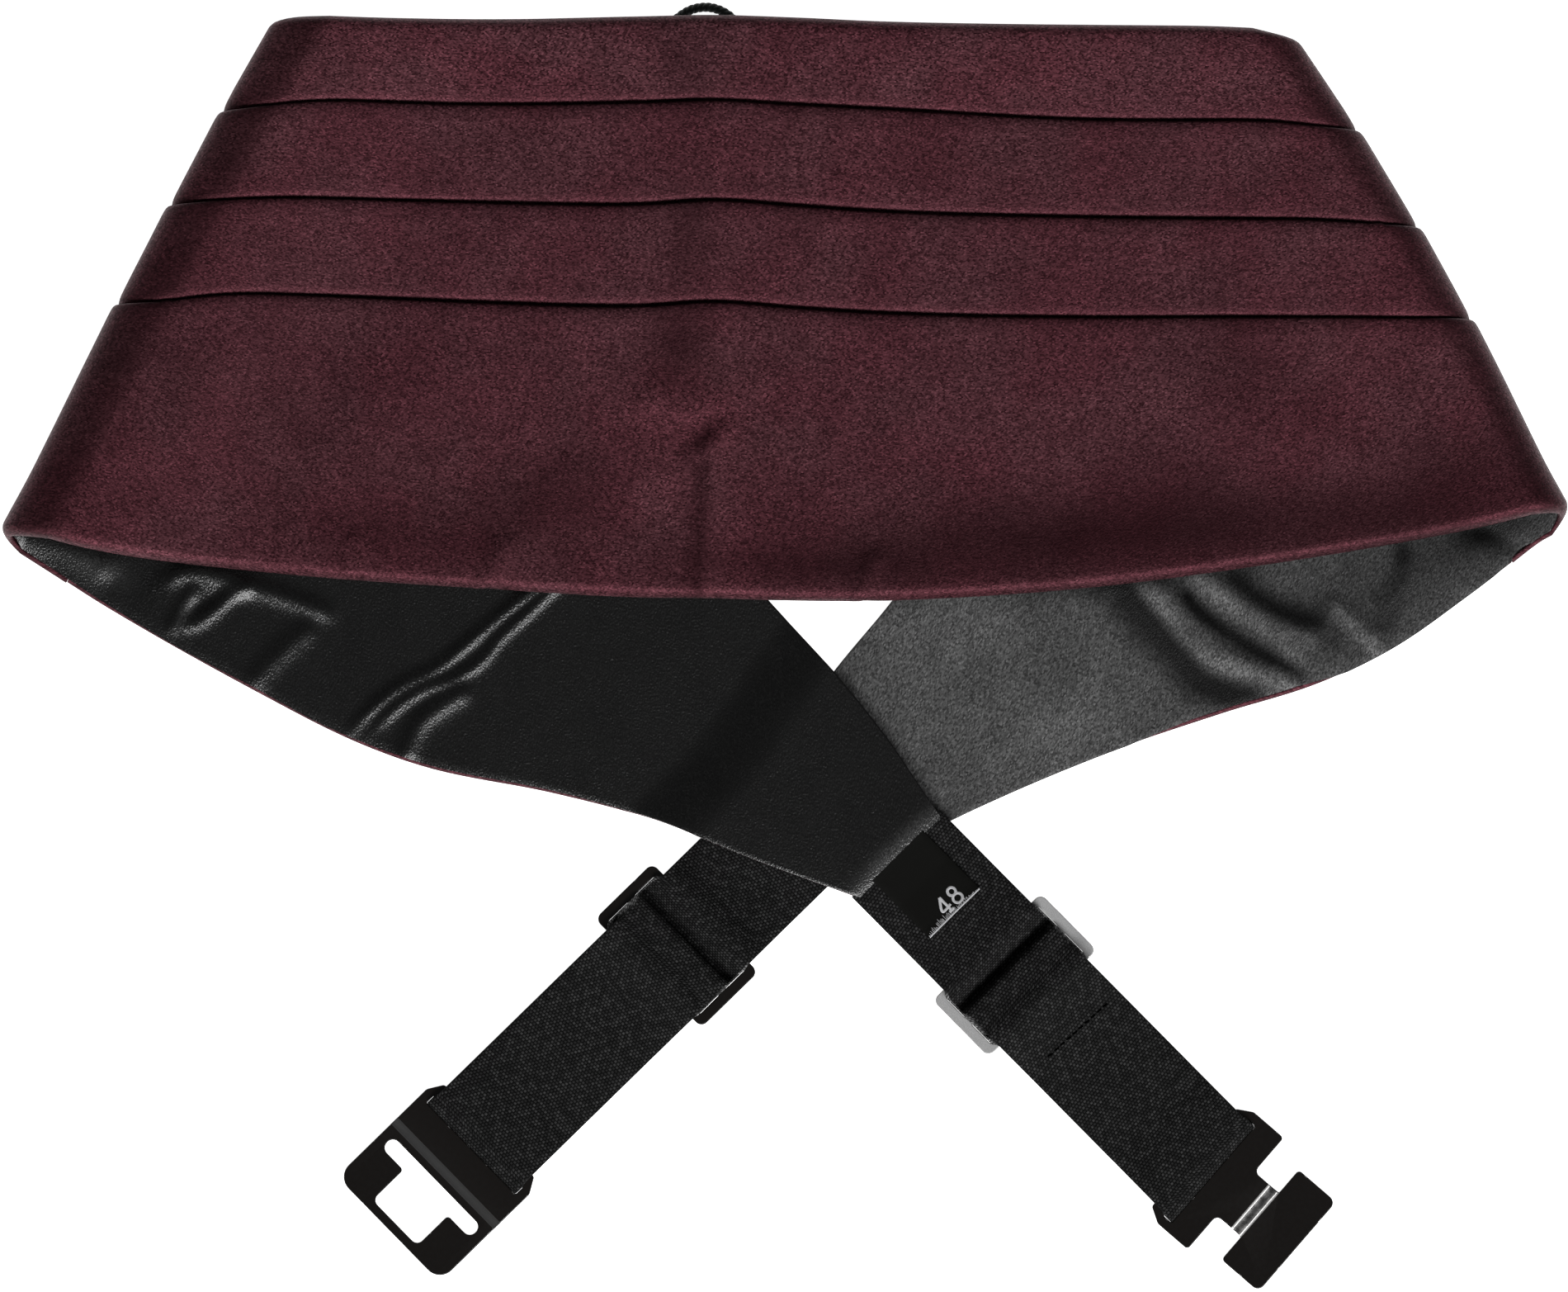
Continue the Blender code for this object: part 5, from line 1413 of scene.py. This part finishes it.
class CUMMERBUND_OT_stage(bpy.types.Operator):
    """Lay out the floor, the lights and the camera"""

    bl_idname = "cummerbund.stage"
    bl_label = "Stage"

    def execute(self, context):
        """A square floor, two area lights aimed at the garment, a grey world and a camera straight above."""
        settings = context.scene.cummerbund_stage
        half = settings.floor_size / 2
        corners = np.array([(-half, -half, 0.0), (half, -half, 0.0), (half, half, 0.0), (-half, half, 0.0)])
        floor = make_mesh("floor", corners / MM + (*ORIGIN, 0.0), [(0, 1, 2, 3)], corners[:, :2] / MM,
                          floor_finish("pale_floor", settings.floor, settings.glow))
        for (name, place, size), power in zip(LIGHTS, (settings.key_power, settings.fill_power)):
            light = bpy.data.lights.new(name, "AREA")
            light.shape = "RECTANGLE"
            light.size, light.size_y = size
            light.energy = power
            item = bpy.data.objects.new(name, light)
            item.location = place
            item.rotation_euler = (-item.location).to_track_quat("-Z", "Y").to_euler()
            item.visible_glossy = name == "key"
            context.scene.collection.objects.link(item)
        world = bpy.data.worlds.new("studio")
        world.use_nodes = True
        sky = world.node_tree.nodes["Background"].inputs
        sky["Color"].default_value = (1.0, 1.0, 1.0, 1.0)
        sky["Strength"].default_value = WORLD_LIGHT
        context.scene.world = world
        context.scene.view_settings.view_transform = "Standard"
        camera = bpy.data.cameras.new("camera")
        camera.lens = settings.lens
        camera.sensor_width = SENSOR
        camera.clip_end = 100.0
        item = bpy.data.objects.new("camera", camera)
        distance = settings.picture / SENSOR * camera.lens
        item.location = (*CAMERA_MIDDLE, distance + CAMERA_FOCUS)
        context.scene.collection.objects.link(item)
        context.scene.camera = item
        return {"FINISHED"}


class CUMMERBUND_OT_satin(bpy.types.Operator):
    """Make the pleated front and the outer cloth of both wings"""

    bl_idname = "cummerbund.satin"
    bl_label = "Satin front and wings"

    def execute(self, context):
        """Three closed shells of one satin."""
        settings = context.scene.cummerbund_cloth
        finish = satin_finish("burgundy_satin", settings.satin, settings.float_length, **FRONT_SHEEN)
        step = settings.step / MM
        piece = settle(satin_front(step, finish), "burgundy_satin", "front_panel")
        for side in SIDES:
            piece = settle(wing_shell(side, step, finish), "burgundy_satin", side + "_wing_shell")
        return {"FINISHED"}


class CUMMERBUND_OT_linings(bpy.types.Operator):
    """Make the linings of the wings and of the front"""

    bl_idname = "cummerbund.linings"
    bl_label = "Linings"

    def execute(self, context):
        """Three closed shells, the right wing's painted paler for the sheen it shows."""
        settings = context.scene.cummerbund_cloth
        step = settings.crease_step / MM
        left = satin_finish("left_lining_satin", settings.lining, settings.float_length, **LEFT_LINING_SHEEN)
        # painted sheen: the right lining is a paler copy of the lining
        right = satin_finish("right_lining_satin", tinted(settings.lining, RIGHT_LINING_PALER),
                             settings.float_length, **RIGHT_LINING_SHEEN)
        pieces = (
            (wing_lining("left", LEFT_CREASES, LEFT_LINING_PAINTED_LIGHT_AND_SHADE, (), step, left),
             "left_wing_lining", "left", "left_wing_satin"),
            (wing_lining("right", RIGHT_CREASES, RIGHT_LINING_PAINTED_LIGHT_AND_SHADE, RIGHT_LINING_PAINTED_STREAKS, step, right),
             "right_wing_lining", "right", "right_wing_satin"),
            (front_lining(step, left), "front_lining", "front", "satin_front"),
        )
        for piece, node, cut, under in pieces:
            settle(piece, "black_satin", node)
        return {"FINISHED"}


class CUMMERBUND_OT_elastics(bpy.types.Operator):
    """Make both elastics and the stitches on one of them"""

    bl_idname = "cummerbund.elastics"
    bl_label = "Elastics"

    def execute(self, context):
        """Two bands, pressed wider in their sliders and end plates."""
        settings = context.scene.cummerbund_band
        finish = elastic_finish("ribbed_elastic", settings.elastic, settings.rib)
        sewing = cord_finish("stitch_thread", tinted(settings.elastic, STITCH_TINT), 0.0)
        stitches = settle(strap_stitches(sewing), "black_cord")
        for name, side in (("hook_strap", HOOK_SIDE), ("slot_strap", SLOT_SIDE)):
            pressed = [
                (side["groove"] + SLIDER_BARS[0][1] - 1.2, side["groove"] + SLIDER_BARS[2][0] + 1.2,
                 SLIDER_PRESS_TOP, SLIDER_SPREAD, side["slider_shift"], SLIDER_PAINTED_SLIT),
                (ELASTIC_LENGTH - 3.0, ELASTIC_LENGTH + 9.0, PLATE_PRESS_TOP, PLATE_SPREAD, 0.0, 0.0)]
            piece = band(name + "_elastic", side, elastic_path(side), ELASTIC_WIDTH, ELASTIC,
                         settings.step / MM, finish, pressed)
            settle(piece, "ribbed_elastic", name)
        return {"FINISHED"}


class CUMMERBUND_OT_label(bpy.types.Operator):
    """Make the size label, its figures and its frayed end"""

    bl_idname = "cummerbund.label"
    bl_label = "Size label"

    def execute(self, context):
        """A short band on the hook-side elastic, with its white threads over it."""
        settings = context.scene.cummerbund_band
        run = np.linspace(*LABEL_REACH, 34)
        path = np.stack([run, label_floor(run) + LABEL / 2], axis=1)
        piece = band("size_label_ribbon", HOOK_SIDE, path, LABEL_WIDTH, LABEL, 0.5,
                     ribbon_finish("label_ribbon", settings.ribbon))
        settle(piece, "woven_label", "size_label")
        thread = thread_finish("label_thread", settings.thread)
        extras = [settle(label_figures(thread), "woven_label"), settle(label_fringe(thread), "woven_label")]
        return {"FINISHED"}


class CUMMERBUND_OT_metal(bpy.types.Operator):
    """Make the sliders and the two end plates"""

    bl_idname = "cummerbund.metal"
    bl_label = "Sliders and end plates"

    def execute(self, context):
        """Four sheet metal pieces, one blasted grey and three painted black."""
        settings = context.scene.cummerbund_metal
        edge = settings.edge / MM
        grey = grey_finish("blasted_grey", settings.grey, settings.bare)
        # the hook and slot plates' bend bands carry painted highlights and painted light
        paint, hook_paint, slot_paint = (
            paint_finish(name, settings.paint, settings.bare, bend)
            for name, bend in (("black_paint", None), ("worn_black_paint_painted_glint", HOOK_BEND_WEAR_AND_PAINTED_GLINT),
                               ("black_paint_painted_light_band", SLOT_BEND_PAINTED_LIGHT)))
        settle(slider("grey_slider", HOOK_SIDE, edge, grey), "grey_metal", "hook_slider")
        settle(slider("black_slider", SLOT_SIDE, edge, paint), "black_metal", "slot_slider")
        settle(end_plate("painted_hook_plate", HOOK_SIDE, HOOK_HEADING, HOOK_TAIL, (), HOOK_STEP, edge,
                         hook_paint), "black_metal", "hook_plate")
        settle(end_plate("painted_slot_plate", SLOT_SIDE, SLOT_SIDE["heading"], SLOT_TAIL, (T_OPENING,),
                         SLOT_STEP, edge, slot_paint), "black_metal", "slot_plate")
        return {"FINISHED"}


class CUMMERBUND_OT_loop(bpy.types.Operator):
    """Make the button loop"""

    bl_idname = "cummerbund.loop"
    bl_label = "Button loop"

    def execute(self, context):
        """Three twisted strands behind the top edge."""
        yarn = cord_finish("loop_yarn", context.scene.cummerbund_band.yarn)
        settle(twisted_loop(yarn), "black_cord", "button_loop")
        return {"FINISHED"}


class CUMMERBUND_PT_panel(bpy.types.Panel):
    """The pieces of the cummerbund"""

    bl_idname = "CUMMERBUND_PT_panel"
    bl_label = "Cummerbund"
    bl_space_type = "VIEW_3D"
    bl_region_type = "UI"
    bl_category = "Cummerbund"

    def draw(self, context):
        """A box for each group of settings, with the buttons of the pieces that they shape."""
        for group, (_, names) in SETTINGS.items():
            settings = getattr(context.scene, "cummerbund_" + group)
            box = self.layout.box()
            for name in settings.__annotations__:
                box.prop(settings, name)
            for name in names:
                box.operator("cummerbund." + name)


# Each group of settings, and the operators that use it.
SETTINGS = {
    "stage": (CummerbundStage, ("stage",)),
    "cloth": (CummerbundCloth, ("satin", "linings")),
    "band": (CummerbundBand, ("elastics", "label", "loop")),
    "metal": (CummerbundMetal, ("metal",)),
}
OPERATORS = (CUMMERBUND_OT_stage, CUMMERBUND_OT_satin, CUMMERBUND_OT_linings, CUMMERBUND_OT_elastics,
             CUMMERBUND_OT_label, CUMMERBUND_OT_metal, CUMMERBUND_OT_loop)
CLASSES = (*[group for group, _ in SETTINGS.values()], *OPERATORS, CUMMERBUND_PT_panel)


def register():
    """Make the add-on's classes and settings known."""
    for kind in CLASSES:
        bpy.utils.register_class(kind)
    for name, (group, _) in SETTINGS.items():
        setattr(bpy.types.Scene, "cummerbund_" + name, PointerProperty(type=group))


def unregister():
    """Take the add-on's settings and classes out again."""
    for name in SETTINGS:
        delattr(bpy.types.Scene, "cummerbund_" + name)
    for kind in reversed(CLASSES):
        bpy.utils.unregister_class(kind)


def main():
    """Make every piece in order."""
    register()
    for kind in OPERATORS:
        group, name = kind.bl_idname.split(".")
        if getattr(getattr(bpy.ops, group), name)() != {"FINISHED"}:
            raise RuntimeError(kind.bl_label + " wasn't made")


if __name__ == "__main__":
    main()
